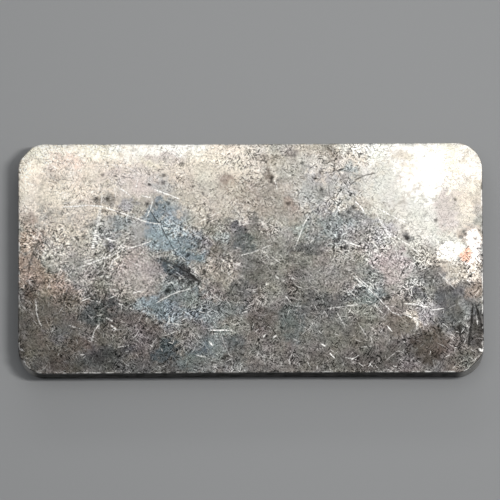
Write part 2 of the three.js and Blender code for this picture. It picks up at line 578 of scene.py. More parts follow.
STAINS = (
    # the frosted upper left end, partly a painted highlight
    Stain((-19.0, 10.6), (7.5, 2.8), Hue.SAND, 1),
    Stain((-7.0, 9.4), (3.2, 2.0), Hue.SAND, 1),
    Stain((-20.0, 3.0), (5.0, 3.0), Hue.STONE, 3),
    Stain((-20.5, 7.4), (4.0, 2.0), Hue.SAND, 2),
    Stain((-12.3, 8.2), (3.6, 1.5), Hue.ROSE, 2),
    Stain((-18.5, 9.2), (1.6, 0.8), Hue.SAND, 1),
    Stain((-23.9, 8.8), (1.1, 2.8), Hue.SAND, 0),
    Stain((-24.0, 5.0), (0.8, 2.0), Hue.SAND, 1),
    # the pale strips along the far edge are a painted highlight
    Stain((-18.5, 11.7), (5.6, 0.8), Hue.STRAW, 0),
    Stain((-8.0, 11.7), (6.0, 0.9), Hue.IVORY, 0),
    Stain((-20.6, 10.6), (2.2, 0.8), Hue.BROWN, 1),
    Stain((-9.0, 10.9), (2.4, 0.45), Hue.ROSE, 2),
    Stain((-9.0, 12.1), (5.0, 0.5), Hue.IVORY, 0),
    Stain((-22.9, 11.3), (1.2, 0.9), Hue.STRAW, 0),
    Stain((-19.2, 7.1), (3.4, 1.2), Hue.SAND, 1),
    Stain((-16.2, 5.2), (3.0, 1.2), Hue.SAND, 2),
    Stain((-20.2, 3.2), (2.0, 1.3), Hue.SAND, 2),
    Stain((-15.5, 3.2), (1.3, 1.1), Hue.GREY, 4),
    Stain((-9.3, 8.1), (1.2, 0.9), Hue.GREY, 3),
    Stain((-13.7, 3.9), (1.0, 0.8), Hue.TEAL, 5),
    Stain((-13.2, 5.8), (0.9, 0.6), Hue.VIOLET, 4),
    Stain((-23.9, 4.2), (0.7, 0.8), Hue.BROWN, 4),
    Stain((-23.6, 1.2), (1.0, 1.8), Hue.COPPER, 4),
    Stain((-23.1, 0.9), (0.5, 0.9), Hue.BROWN, 7),
    Stain((-15.3, 1.3), (0.5, 0.7), Hue.VIOLET, 7),
    Stain((-11.9, 3.4), (0.5, 0.5), Hue.TEAL, 6),
    Stain((-16.5, 6.4), (0.45, 0.45), Hue.SAND, 5),
    Stain((-15.4, 6.4), (0.5, 0.45), Hue.STONE, 5),
    # the blue patch
    Stain((-8.8, 3.9), (2.0, 2.5), Hue.BLUE, 5, -20),
    Stain((-7.2, 1.2), (1.3, 1.6), Hue.BLUE, 6),
    Stain((-11.8, 2.7), (1.2, 1.0), Hue.GREY, 4),
    Stain((-10.0, 2.3), (1.0, 1.2), Hue.BLUE, 5),
    Stain((-10.2, 4.5), (0.9, 0.9), Hue.BLUE, 6),
    Stain((-9.6, 6.0), (0.9, 0.7), Hue.BLUE, 6),
    Stain((-5.7, 2.4), (0.6, 1.0), Hue.BLUE, 8),
    # the sandy upper middle
    Stain((6.0, 10.9), (5.5, 2.0), Hue.STONE, 3),
    Stain((7.0, 7.4), (4.0, 1.6), Hue.GREY, 4),
    Stain((9.0, 2.8), (3.4, 2.0), Hue.TEAL, 6),
    Stain((-3.8, 6.9), (3.8, 2.7), Hue.SAND, 3),
    Stain((-4.0, 9.7), (4.0, 1.3), Hue.SAND, 2),
    Stain((-2.4, 11.9), (2.2, 0.6), Hue.SAND, 1),
    Stain((-4.5, 10.8), (1.6, 0.5), Hue.SAND, 1),
    Stain((2.0, 10.6), (1.2, 0.6), Hue.SAND, 4),
    Stain((11.5, 12.0), (2.0, 0.6), Hue.IVORY, 1),
    Stain((6.5, 11.9), (2.0, 0.5), Hue.SAND, 3),
    Stain((4.2, 8.8), (1.2, 1.2), Hue.STONE, 4),
    Stain((1.5, 6.8), (2.6, 1.6), Hue.SAND, 5),
    Stain((3.5, 4.6), (1.5, 0.9), Hue.SAND, 5),
    Stain((1.5, 6.2), (1.3, 0.9), Hue.SAND, 5),
    Stain((8.8, 3.8), (0.9, 1.2), Hue.TEAL, 6),
    Stain((-6.7, 8.0), (0.8, 1.0), Hue.SAND, 3),
    Stain((8.9, 11.5), (1.0, 0.8), Hue.SAND, 6),
    Stain((10.9, 4.8), (0.8, 0.7), Hue.GREY, 6),
    Stain((6.8, 3.1), (0.6, 1.0), Hue.GREY, 7),
    Stain((7.9, 5.3), (0.9, 0.6), Hue.VIOLET, 6),
    Stain((4.3, 11.4), (0.8, 0.6), Hue.ROSE, 5),
    Stain((10.8, 9.5), (0.8, 0.6), Hue.TEAL, 4),
    Stain((4.4, 6.0), (0.6, 0.7), Hue.BROWN, 6),
    Stain((10.5, 8.5), (0.7, 0.6), Hue.GREY, 5),
    Stain((-2.7, 8.3), (0.5, 0.7), Hue.BROWN, 5),
    Stain((7.6, 7.2), (0.5, 0.6), Hue.GREY, 6),
    Stain((2.2, 9.0), (0.35, 0.8), Hue.BROWN, 7),
    Stain((0.3, 4.1), (0.5, 0.6), Hue.STONE, 8),
    Stain((12.3, 8.9), (0.8, 0.3), Hue.STONE, 6, 12),
    # the bright upper right end, pale metal and partly a painted highlight
    Stain((14.5, 8.6), (2.2, 3.0), Hue.IVORY, 2),
    Stain((14.5, 10.8), (1.6, 0.6), Hue.IVORY, 1),
    Stain((18.0, 4.8), (2.6, 2.6), Hue.IVORY, 2),
    Stain((20.2, 9.8), (3.0, 3.0), Hue.IVORY, 0),
    Stain((20.0, 2.2), (3.2, 1.4), Hue.IVORY, 2),
    Stain((22.6, 5.0), (1.2, 2.8), Hue.SAND, 2),
    Stain((21.3, 5.4), (1.1, 2.3), Hue.ROSE, 3),
    Stain((21.6, 9.8), (0.8, 2.2), Hue.STRAW, 1),
    Stain((23.6, 2.2), (1.0, 1.0), Hue.BROWN, 4),
    Stain((12.5, 2.8), (1.2, 1.0), Hue.VIOLET, 5),
    Stain((15.6, 0.6), (1.5, 0.9), Hue.IVORY, 3),
    # the pale strip along the far edge is a painted highlight
    Stain((16.0, 12.0), (3.0, 0.6), Hue.IVORY, 0),
    Stain((21.8, 0.5), (1.6, 0.8), Hue.IVORY, 0),
    Stain((23.9, 0.6), (0.5, 2.0), Hue.ROSE, 1),
    Stain((16.3, 10.9), (0.8, 0.35), Hue.STRAW, 2),
    Stain((12.6, 1.4), (0.6, 0.4), Hue.GREY, 7),
    Stain((18.6, 0.3), (1.2, 0.9), Hue.STONE, 5),
    Stain((19.0, -2.6), (0.8, 0.8), Hue.GREY, 7),
    Stain((23.1, 2.5), (0.35, 0.25), Hue.STONE, 8),
    Stain((16.8, 2.1), (0.4, 0.25), Hue.GREY, 8),
    # the left end below the frost
    Stain((-21.0, -3.3), (2.0, 1.4), Hue.COPPER, 6),
    Stain((-17.6, -1.3), (1.9, 1.1), Hue.STONE, 5, 45),
    Stain((-22.8, -1.9), (1.4, 1.0), Hue.COPPER, 6),
    Stain((-24.3, -1.2), (0.5, 1.6), Hue.COPPER, 5),
    Stain((-15.8, -5.3), (2.0, 1.6), Hue.TEAL, 11),
    Stain((-15.8, -2.6), (0.6, 1.5), Hue.STONE, 7),
    Stain((-23.7, -4.0), (0.6, 1.1), Hue.COPPER, 10),
    Stain((-19.0, -4.4), (1.3, 0.5), Hue.BROWN, 8),
    Stain((-13.3, -4.6), (0.9, 0.4), Hue.STONE, 9),
    # the rose and teal middle, with the black gash over it
    Stain((4.5, -0.2), (6.0, 1.8), Hue.STONE, 7),
    Stain((-7.0, -5.2), (3.6, 2.2), Hue.BLUE, 7),
    Stain((-4.3, -9.8), (2.4, 1.5), Hue.BLUE, 9),
    Stain((-12.0, -1.7), (2.2, 1.9), Hue.ROSE, 4),
    Stain((-3.6, -1.6), (1.7, 1.6), Hue.SAND, 6),
    Stain((-11.3, -5.2), (1.3, 0.9), Hue.BLUE, 5),
    Stain((-6.5, -4.5), (1.5, 0.8), Hue.TEAL, 7),
    Stain((-7.8, -2.8), (1.6, 0.6), Hue.TEAL, 6, 10),
    Stain((-3.6, -3.9), (1.2, 0.9), Hue.ROSE, 8),
    Stain((-3.0, -5.5), (2.2, 1.0), Hue.TEAL, 8),
    Stain((-3.2, 2.0), (1.7, 1.8), Hue.STONE, 7),
    Stain((1.2, 2.7), (1.1, 1.1), Hue.STONE, 7),
    Stain((-3.2, 2.3), (0.6, 0.5), Hue.TEAL, 5),
    Stain((-3.5, 0.5), (1.3, 0.6), Hue.SAND, 8),
    Stain((-4.9, 1.3), (0.5, 0.9), Hue.VIOLET, 7),
    Stain((-10.0, -1.0), (0.9, 0.8), Hue.ROSE, 6),
    Stain((-13.0, -3.6), (1.2, 0.9), Hue.ROSE, 5),
    Stain((-8.9, -0.9), (0.8, 0.6), Hue.GREY, 8),
    Stain((-7.5, -1.6), (1.5, 0.9), Hue.TEAL, 10, -30),
    Stain((-8.6, -0.8), (1.3, 0.55), Hue.BLUE, 10, -30),
    Stain((-6.5, -1.8), (0.9, 0.5), Hue.GREY, 12, -35),
    Stain((-6.0, 0.3), (1.0, 0.6), Hue.BLUE, 7),
    Stain((-8.6, -4.0), (0.9, 0.4), Hue.TEAL, 8),
    Stain((-1.1, 2.9), (0.8, 0.8), Hue.VIOLET, 9),
    Stain((-0.7, 1.8), (1.0, 0.9), Hue.TEAL, 9),
    Stain((9.5, 2.0), (0.6, 0.4), Hue.GREY, 10),
    Stain((6.2, 0.8), (1.3, 0.5), Hue.GREY, 9),
    # the dull middle
    Stain((6.0, -4.6), (3.4, 1.6), Hue.GREY, 9),
    Stain((2.2, -2.9), (1.4, 2.0), Hue.STONE, 7),
    Stain((8.5, -2.2), (1.6, 1.2), Hue.STONE, 7),
    Stain((4.8, -2.6), (0.9, 1.8), Hue.STONE, 9),
    Stain((0.3, -2.3), (1.1, 1.8), Hue.STONE, 9),
    Stain((-1.3, -3.7), (1.2, 1.1), Hue.GREY, 9),
    Stain((11.5, 2.4), (1.4, 1.0), Hue.GREY, 7),
    Stain((14.4, 2.6), (0.9, 1.0), Hue.VIOLET, 4),
    Stain((11.9, -4.6), (1.4, 0.8), Hue.TEAL, 8),
    Stain((12.7, -6.3), (1.3, 0.5), Hue.IVORY, 7, -30),
    Stain((9.7, -4.4), (1.0, 0.5), Hue.GREY, 10),
    Stain((8.3, -5.1), (1.2, 0.8), Hue.GREY, 10),
    # the lower left
    Stain((-22.0, -8.0), (3.0, 3.5), Hue.SAND, 9),
    Stain((-12.0, -11.6), (9.0, 0.8), Hue.GREY, 10),
    Stain((-9.0, -6.0), (1.5, 1.2), Hue.BLUE, 7),
    Stain((-6.5, -8.0), (1.7, 1.4), Hue.GREY, 8),
    Stain((-12.0, -8.4), (2.0, 1.3), Hue.ROSE, 9),
    Stain((-13.2, -7.0), (1.8, 1.8), Hue.ROSE, 9),
    Stain((-9.2, -9.9), (1.2, 1.1), Hue.BLUE, 11),
    Stain((-15.2, -10.2), (2.2, 0.8), Hue.VIOLET, 11),
    Stain((-17.2, -6.2), (1.1, 0.7), Hue.TEAL, 10),
    Stain((-20.9, -8.1), (1.2, 0.9), Hue.VIOLET, 9),
    Stain((-20.8, -10.8), (1.3, 0.9), Hue.BROWN, 11),
    Stain((-18.8, -9.3), (1.0, 0.8), Hue.BROWN, 10),
    Stain((-15.9, -11.0), (1.2, 0.7), Hue.GREY, 12),
    Stain((-19.6, -11.8), (1.5, 0.5), Hue.SAND, 11),
    Stain((-10.5, -8.6), (0.6, 1.0), Hue.ROSE, 10),
    Stain((-16.1, -8.0), (0.8, 0.6), Hue.STONE, 10),
    # the lower middle
    Stain((-1.4, -8.0), (2.0, 1.3), Hue.IVORY, 7),
    Stain((8.5, -11.2), (3.6, 0.9), Hue.STONE, 10),
    Stain((4.3, -7.2), (1.0, 1.8), Hue.TEAL, 9),
    Stain((-1.6, -9.8), (0.9, 1.2), Hue.GREY, 10),
    Stain((-5.5, -11.4), (1.8, 0.9), Hue.TEAL, 8),
    Stain((-2.8, -11.7), (1.8, 0.5), Hue.GREY, 7),
    Stain((13.0, -11.7), (1.6, 0.5), Hue.ROSE, 12),
    Stain((-3.4, -9.2), (1.1, 1.4), Hue.TEAL, 7),
    Stain((7.2, -7.3), (1.0, 1.1), Hue.IVORY, 8),
    Stain((1.2, -8.6), (1.2, 1.2), Hue.ROSE, 9),
    Stain((1.1, -6.6), (1.3, 1.0), Hue.SAND, 10),
    Stain((-4.4, -6.3), (1.0, 0.7), Hue.TEAL, 7),
    Stain((-2.0, -9.1), (0.8, 0.4), Hue.TEAL, 10),
    Stain((-2.2, -11.0), (0.6, 0.6), Hue.GREY, 10),
    # the lower right
    Stain((17.5, -10.6), (5.0, 1.5), Hue.ROSE, 10),
    Stain((11.0, -8.8), (2.6, 1.8), Hue.STONE, 9),
    Stain((13.5, -8.0), (1.6, 1.0), Hue.STONE, 8),
    Stain((16.2, -9.8), (1.0, 0.8), Hue.ROSE, 10),
    Stain((21.8, -5.2), (1.9, 2.2), Hue.VIOLET, 10),
    Stain((15.2, -1.0), (1.7, 1.9), Hue.MAUVE, 5),
    Stain((12.8, -3.6), (1.5, 1.2), Hue.TEAL, 8),
    Stain((12.8, -10.9), (1.8, 1.2), Hue.STONE, 11),
    Stain((15.8, -7.2), (1.4, 1.2), Hue.SAND, 9),
    Stain((21.8, -1.5), (1.7, 0.9), Hue.SAND, 4, -15),
    Stain((23.9, 0.6), (0.7, 1.5), Hue.ROSE, 0),
    Stain((24.2, -1.6), (0.4, 1.2), Hue.SAND, 3),
    Stain((23.1, 0.2), (0.5, 0.65), Hue.CORAL, 4, 30),
    Stain((19.5, -2.0), (0.9, 0.9), Hue.GREY, 8),
    Stain((23.0, -5.6), (0.9, 1.0), Hue.STONE, 9),
    Stain((20.5, -4.3), (1.0, 1.1), Hue.VIOLET, 10),
    Stain((18.8, -5.7), (1.1, 0.9), Hue.VIOLET, 6),
    Stain((12.7, -2.0), (1.2, 0.8), Hue.GREY, 7, -30),
    Stain((17.8, -4.0), (0.8, 0.6), Hue.VIOLET, 9),
    Stain((17.5, -6.4), (0.35, 0.9), Hue.SAND, 5, 30),
    Stain((18.8, -9.5), (1.7, 1.4), Hue.BROWN, 12),
    Stain((19.9, -9.9), (0.9, 0.6), Hue.BROWN, 11),
    Stain((23.6, -3.2), (0.5, 0.5), Hue.BROWN, 8),
    Stain((23.6, -7.6), (1.1, 2.4), Hue.GREY, 11, 4),
    Stain((23.0, -6.2), (0.4, 1.7), Hue.GREY, 7, 4),
    Stain((24.3, -7.8), (0.5, 1.4), Hue.STONE, 13, 4),
    Stain((24.2, -3.6), (0.7, 0.8), Hue.BROWN, 7),
    Stain((23.0, -11.0), (0.7, 0.5), Hue.GREY, 10, 30),
    Stain((24.2, -11.6), (1.7, 0.4), Hue.IVORY, 10, 45),
    Stain((22.5, -8.0), (0.35, 0.6), Hue.ROSE, 13),
    Stain((22.8, -10.2), (1.0, 0.7), Hue.STONE, 10),
    Stain((20.5, -12.0), (3.0, 0.35), Hue.ROSE, 9),
    Stain((19.3, -11.0), (0.9, 0.5), Hue.BROWN, 13),
)

PITS = (
    (-15.4, 10.4), (-15.9, 9.1), (-9.3, 9.0), (-9.4, 8.2), (-16.5, 6.6), (-16.6, 6.4), (-15.4, 6.5),
    (-15.8, 5.2), (-18.3, 6.2), (-22.4, 2.9), (-17.9, 2.4), (-16.2, 3.1), (-17.0, 3.6),
    (-13.9, -1.6), (-9.0, -3.6), (-8.9, -3.4), (-5.1, 7.0), (-4.3, 5.2), (-4.6, 4.6), (-7.4, 10.2),
    (-10.3, 1.7), (-10.1, 5.9), (-8.8, 6.0), (-11.1, 5.9), (-10.9, 8.0), (-6.7, 0.4), (-5.1, -5.7),
    (-5.0, -1.5), (-4.9, -1.5), (-0.8, -5.7), (2.3, 8.7), (2.3, 8.3), (2.9, 8.5), (5.6, 10.3),
    (7.5, 9.2), (6.9, 8.6), (7.6, 7.4), (10.2, 1.1), (10.5, 5.0), (11.1, 5.4), (11.6, 0.9),
    (12.6, -1.1), (10.8, 6.9), (16.7, 2.2), (16.9, 2.0), (19.9, 4.0),
    (23.1, 2.5), (22.6, 2.2), (24.2, 2.0), (22.0, 6.3), (17.4, -4.1), (14.7, -4.3), (13.2, -4.4),
    (0.4, 4.9), (4.1, 5.9),
)


@dataclass(frozen=True)
class Grain:
    """A place on the upper face, mm, where the grain is stronger or calmer than elsewhere."""

    centre: Point
    half: Point
    strength: float


GRAINS = (
    Grain((1.0, 8.5), (11.0, 4.0), 0.53),
    Grain((-18.0, 9.0), (8.5, 4.0), 0.35),
    Grain((-23.5, 9.0), (1.5, 4.0), 0.3),
    Grain((-15.0, 11.8), (9.0, 0.8), 0.3),
    Grain((19.0, 8.5), (6.0, 5.0), 0.08),
    Grain((22.0, 5.0), (3.0, 4.0), 0.2),
    Grain((-23.0, -8.5), (2.5, 3.0), 0.75),
    Grain((-9.3, 5.6), (1.2, 0.8), 0.7),
    Grain((-11.6, 2.7), (0.9, 0.8), 0.3),
    Grain((-12.4, -1.6), (2.0, 1.0), 0.75),
    Grain((-15.8, 1.5), (1.8, 1.8), 1.5),
    Grain((-16.3, -4.6), (2.6, 2.2), 1.5),
    Grain((-7.6, -1.4), (2.0, 1.0), 1.4),
    Grain((9.5, 3.5), (3.0, 2.5), 1.1),
    Grain((12.0, -4.0), (3.0, 2.0), 1.2),
    Grain((18.5, -2.5), (2.2, 2.0), 1.3),
    Grain((15.9, -7.5), (1.3, 1.1), 0.6),
    Grain((21.3, -1.4), (1.3, 0.8), 0.35),
    Grain((21.3, -4.6), (1.9, 1.8), 0.65),
    Grain((18.3, -6.4), (1.3, 1.1), 0.6),
    Grain((19.0, -9.4), (1.6, 1.2), 0.7),
    Grain((-20.5, -8.5), (4.0, 3.5), 0.75),
    Grain((1.1, -6.6), (1.3, 1.0), 0.7),
)


class Scratch:
    """One scratch on the upper face, through the points that are given, mm."""

    def __init__(self, width: float, strength: float, *path: Point) -> None:
        """Keeps the scratch's sizes.

        Args:
            width: Its half width, mm.
            strength: How much of it shows. Over 1, it skips less.
            path: The points that it runs through.
        """
        self.width = width
        self.strength = strength
        self.path = path


@dataclass(frozen=True)
class Ladder:
    """Short level dashes, one under the other, mm, each a little further left than the last."""

    top: Point = (-16.8, 3.0)
    pitch: Point = (0.04, 0.225)
    dash: float = 0.4
    rungs: int = 9

    def scratches(self) -> list[Scratch]:
        """Places the dashes.

        Returns:
            One scratch for each.
        """
        made = []
        for rung in range(self.rungs):
            x = self.top[0] - self.pitch[0] * rung
            y = self.top[1] - self.pitch[1] * rung
            made.append(Scratch(0.075, 1.25, (x, y), (x + self.dash, y)))
        return made


BRIGHT_SCRATCHES = (
    # the long line across the upper left, and the fan that meets it
    Scratch(0.07, 0.85, (-20.3, 5.6), (-17.3, 5.8), (-15.8, 5.6)),
    Scratch(0.05, 0.4, (-20.2, 6.0), (-18.9, 6.1)),
    Scratch(0.07, 0.72, (-16.0, 5.7), (-14.1, 5.0), (-12.4, 4.4), (-11.0, 3.9), (-9.6, 3.7)),
    Scratch(0.06, 0.6, (-9.4, 3.3), (-8.3, 3.2)),
    Scratch(0.06, 0.4, (-15.9, 7.0), (-16.1, 5.8)),
    Scratch(0.05, 0.4, (-16.8, 6.6), (-15.8, 7.4), (-14.7, 8.0), (-13.4, 8.9)),
    Scratch(0.05, 0.4, (-14.6, 7.7), (-14.5, 6.4)),
    Scratch(0.07, 0.7, (-14.1, 7.7), (-12.9, 6.8)),
    Scratch(0.06, 0.55, (-12.1, 8.6), (-12.4, 7.5)),
    Scratch(0.05, 0.35, (-15.0, 10.2), (-13.5, 10.0), (-12.4, 9.5), (-11.6, 9.0)),
    Scratch(0.07, 0.75, (-10.4, 7.5), (-8.4, 6.8), (-7.6, 6.4)),
    Scratch(0.06, 0.6, (-10.5, 6.2), (-10.9, 5.0)),
    Scratch(0.07, 0.85, (-10.9, 5.2), (-11.1, 4.5)),
    Scratch(0.08, 0.6, (-11.7, 6.8), (-10.7, 6.6)),
    Scratch(0.05, 0.4, (-5.6, 3.9), (-4.3, 4.5), (-3.2, 5.1)),
    Scratch(0.05, 0.3, (-3.9, 9.8), (-2.1, 10.4)),
    Scratch(0.05, 0.35, (-1.3, 3.6), (0.5, 3.8)),
    # the ladder of short dashes
    Scratch(0.2, 0.35, (-16.1, 5.6), (-16.5, 3.2)),
    *Ladder().scratches(),
    # the fan at the left of the middle
    Scratch(0.08, 0.85, (-18.5, -1.0), (-16.1, -0.1), (-14.1, 0.7)),
    Scratch(0.07, 0.8, (-13.4, 1.0), (-11.7, 1.5), (-10.7, 1.9)),
    Scratch(0.065, 0.55, (-15.2, -1.1), (-14.7, -0.2), (-13.9, 0.4)),
    Scratch(0.05, 0.45, (-14.8, 0.4), (-13.3, 2.0)),
    Scratch(0.05, 0.35, (-13.2, -0.2), (-11.8, -0.9)),
    Scratch(0.07, 0.8, (-15.6, 2.1), (-14.4, 1.9)),
    Scratch(0.06, 0.5, (-17.9, -0.4), (-16.8, 0.0)),
    Scratch(0.06, 0.8, (-1.0, 0.3), (-0.2, 0.5)),
    Scratch(0.06, 0.5, (-1.6, 1.2), (-1.2, 1.0)),
    Scratch(0.06, 0.45, (-0.1, 0.5), (1.2, 1.0), (2.2, 1.4)),
    # dashes and beads of the lower left
    Scratch(0.07, 0.8, (-18.2, -4.6), (-17.2, -4.2)),
    Scratch(0.08, 0.8, (-16.6, -4.6), (-16.1, -4.7)),
    Scratch(0.07, 0.7, (-15.4, -4.4), (-14.5, -4.0)),
    Scratch(0.09, 0.9, (-14.2, -4.9), (-13.7, -5.0)),
    Scratch(0.08, 0.9, (-13.0, -5.4), (-12.7, -5.5)),
    Scratch(0.085, 0.9, (-15.5, -6.4), (-14.8, -6.8)),
    Scratch(0.08, 0.9, (-15.0, -7.2), (-14.8, -7.4)),
    Scratch(0.08, 0.9, (-14.8, -7.5), (-14.4, -7.7)),
    Scratch(0.08, 0.8, (-15.5, -2.0), (-15.2, -2.1)),
    Scratch(0.06, 0.55, (-14.9, -3.3), (-14.1, -3.5)),
    Scratch(0.06, 0.55, (-19.6, -7.2), (-18.3, -7.6)),
    Scratch(0.07, 0.7, (-16.2, -7.1), (-16.8, -7.8), (-17.1, -8.9)),
    Scratch(0.05, 0.4, (-17.5, -8.6), (-16.6, -9.0)),
    Scratch(0.06, 0.55, (-14.3, -9.6), (-13.1, -9.4)),
    Scratch(0.08, 0.65, (-18.3, -10.4), (-17.8, -10.4)),
    Scratch(0.065, 0.6, (-23.1, -4.4), (-23.0, -5.7), (-22.8, -6.6), (-22.4, -7.4)),
    Scratch(0.05, 0.5, (-17.3, -6.4), (-15.7, -6.0)),
    Scratch(0.07, 0.65, (-10.1, -4.8), (-8.5, -3.9), (-6.3, -3.2)),
    Scratch(0.06, 0.55, (-12.8, -3.8), (-11.4, -3.4)),
    Scratch(0.06, 0.5, (-8.8, -6.1), (-8.8, -7.1)),
    Scratch(0.06, 0.6, (-9.0, -7.0), (-7.2, -7.2)),
    Scratch(0.09, 0.7, (-9.7, -7.3), (-9.5, -7.4)),
    Scratch(0.06, 0.5, (-9.3, -8.4), (-8.0, -7.9)),
    Scratch(0.075, 0.5, (-10.8, -9.4), (-10.5, -9.6)),
    # glints in the gash
    Scratch(0.09, 0.7, (-7.7, -2.1), (-7.5, -2.3)),
    Scratch(0.04, 0.45, (-8.1, -1.4), (-7.1, -2.2)),
    Scratch(0.06, 0.65, (-6.5, -1.5), (-5.8, -1.9)),
    Scratch(0.035, 0.4, (-9.1, -0.5), (-8.1, -1.3)),
    # dashes of the lower middle
    Scratch(0.07, 0.95, (-4.4, -7.8), (-2.1, -7.8)),
    Scratch(0.05, 0.4, (-2.3, -7.9), (-1.0, -7.9)),
    Scratch(0.06, 0.6, (-4.2, -8.2), (-3.6, -8.2)),
    Scratch(0.08, 0.9, (-4.5, -9.0), (-4.1, -9.5)),
    Scratch(0.07, 0.6, (-5.9, -10.5), (-4.8, -10.7)),
    Scratch(0.05, 0.4, (-3.2, -8.2), (-2.8, -9.5), (-2.2, -10.7)),
    Scratch(0.07, 0.6, (-1.0, -6.0), (-0.3, -5.7)),
    Scratch(0.08, 0.85, (1.3, -8.6), (1.6, -8.3)),
    Scratch(0.08, 0.85, (2.3, -8.7), (2.7, -8.4)),
    Scratch(0.06, 0.55, (3.6, -4.0), (4.3, -4.8)),
    Scratch(0.07, 0.5, (2.6, -1.9), (3.0, -2.3)),
    # the sandy middle
    Scratch(0.07, 0.55, (6.3, 4.6), (5.7, 3.6), (5.1, 2.0), (4.8, 1.2)),
    Scratch(0.07, 0.5, (2.6, 8.5), (2.9, 7.4)),
    Scratch(0.06, 0.45, (7.6, 5.1), (7.4, 4.2)),
    Scratch(0.05, 0.35, (6.5, 1.6), (6.8, 3.4)),
    Scratch(0.06, 0.5, (9.3, 1.2), (10.6, 1.6), (11.8, 1.2)),
    Scratch(0.075, 0.8, (11.2, 6.1), (11.7, 5.7), (12.2, 5.0)),
    Scratch(0.06, 0.45, (13.4, 5.5), (15.2, 4.5), (17.1, 3.6)),
    Scratch(0.05, 0.42, (13.5, 4.9), (14.2, 3.3), (15.2, 2.0), (15.8, 0.2)),
    Scratch(0.055, 0.5, (14.5, 3.0), (16.1, 1.9), (17.2, 1.2), (18.2, 0.2)),
    Scratch(0.05, 0.45, (17.4, -0.4), (16.6, -1.7)),
    # the long double line of the lower right, and what lies round it
    Scratch(0.06, 0.68, (10.9, -1.9), (12.4, -3.2), (13.7, -4.4), (15.1, -5.9), (16.2, -6.3)),
    Scratch(0.045, 0.45, (11.4, -2.0), (13.1, -3.6), (14.4, -5.2)),
    Scratch(0.06, 0.65, (16.3, -6.1), (17.5, -6.6)),
    Scratch(0.15, 0.4, (17.4, -6.6), (17.9, -6.9), (17.8, -7.8)),
    Scratch(0.06, 0.75, (16.5, -5.0), (17.8, -5.1)),
    Scratch(0.06, 0.75, (17.7, -5.1), (19.2, -5.4)),
    Scratch(0.065, 0.6, (19.5, -5.7), (20.8, -5.5)),
    Scratch(0.07, 0.55, (8.2, -5.5), (9.8, -5.3), (11.4, -5.1)),
    Scratch(0.055, 0.5, (9.2, -5.9), (10.1, -7.5)),
    Scratch(0.055, 0.45, (10.2, -3.3), (11.7, -4.6)),
    Scratch(0.06, 0.5, (13.2, -5.1), (14.2, -6.1)),
    Scratch(0.075, 0.85, (14.6, -7.4), (15.1, -8.0)),
    Scratch(0.05, 0.4, (11.5, -7.1), (12.4, -8.5)),
    Scratch(0.085, 0.8, (7.5, -9.3), (8.0, -9.6)),
    Scratch(0.075, 0.8, (8.4, -10.3), (9.0, -10.9)),
    Scratch(0.07, 0.8, (10.1, -10.8), (11.2, -11.0)),
    Scratch(0.07, 0.5, (12.6, -11.4), (13.1, -11.9)),
    Scratch(0.05, 0.35, (14.5, -11.1), (15.7, -10.1), (16.4, -10.3)),
    Scratch(0.07, 0.4, (20.1, -1.6), (21.9, -3.4)),
    Scratch(0.07, 0.6, (24.2, -6.3), (24.3, -7.3)),
    Scratch(0.14, 0.9, (24.4, -9.9), (24.9, -10.2)),
    Scratch(0.1, 0.9, (-24.9, -9.6), (-24.4, -9.95)),
    Scratch(0.12, 0.8, (-24.6, -11.0), (-24.2, -11.25)),
    Scratch(0.07, 0.9, (24.9, -9.6), (24.9, -10.3)),
)

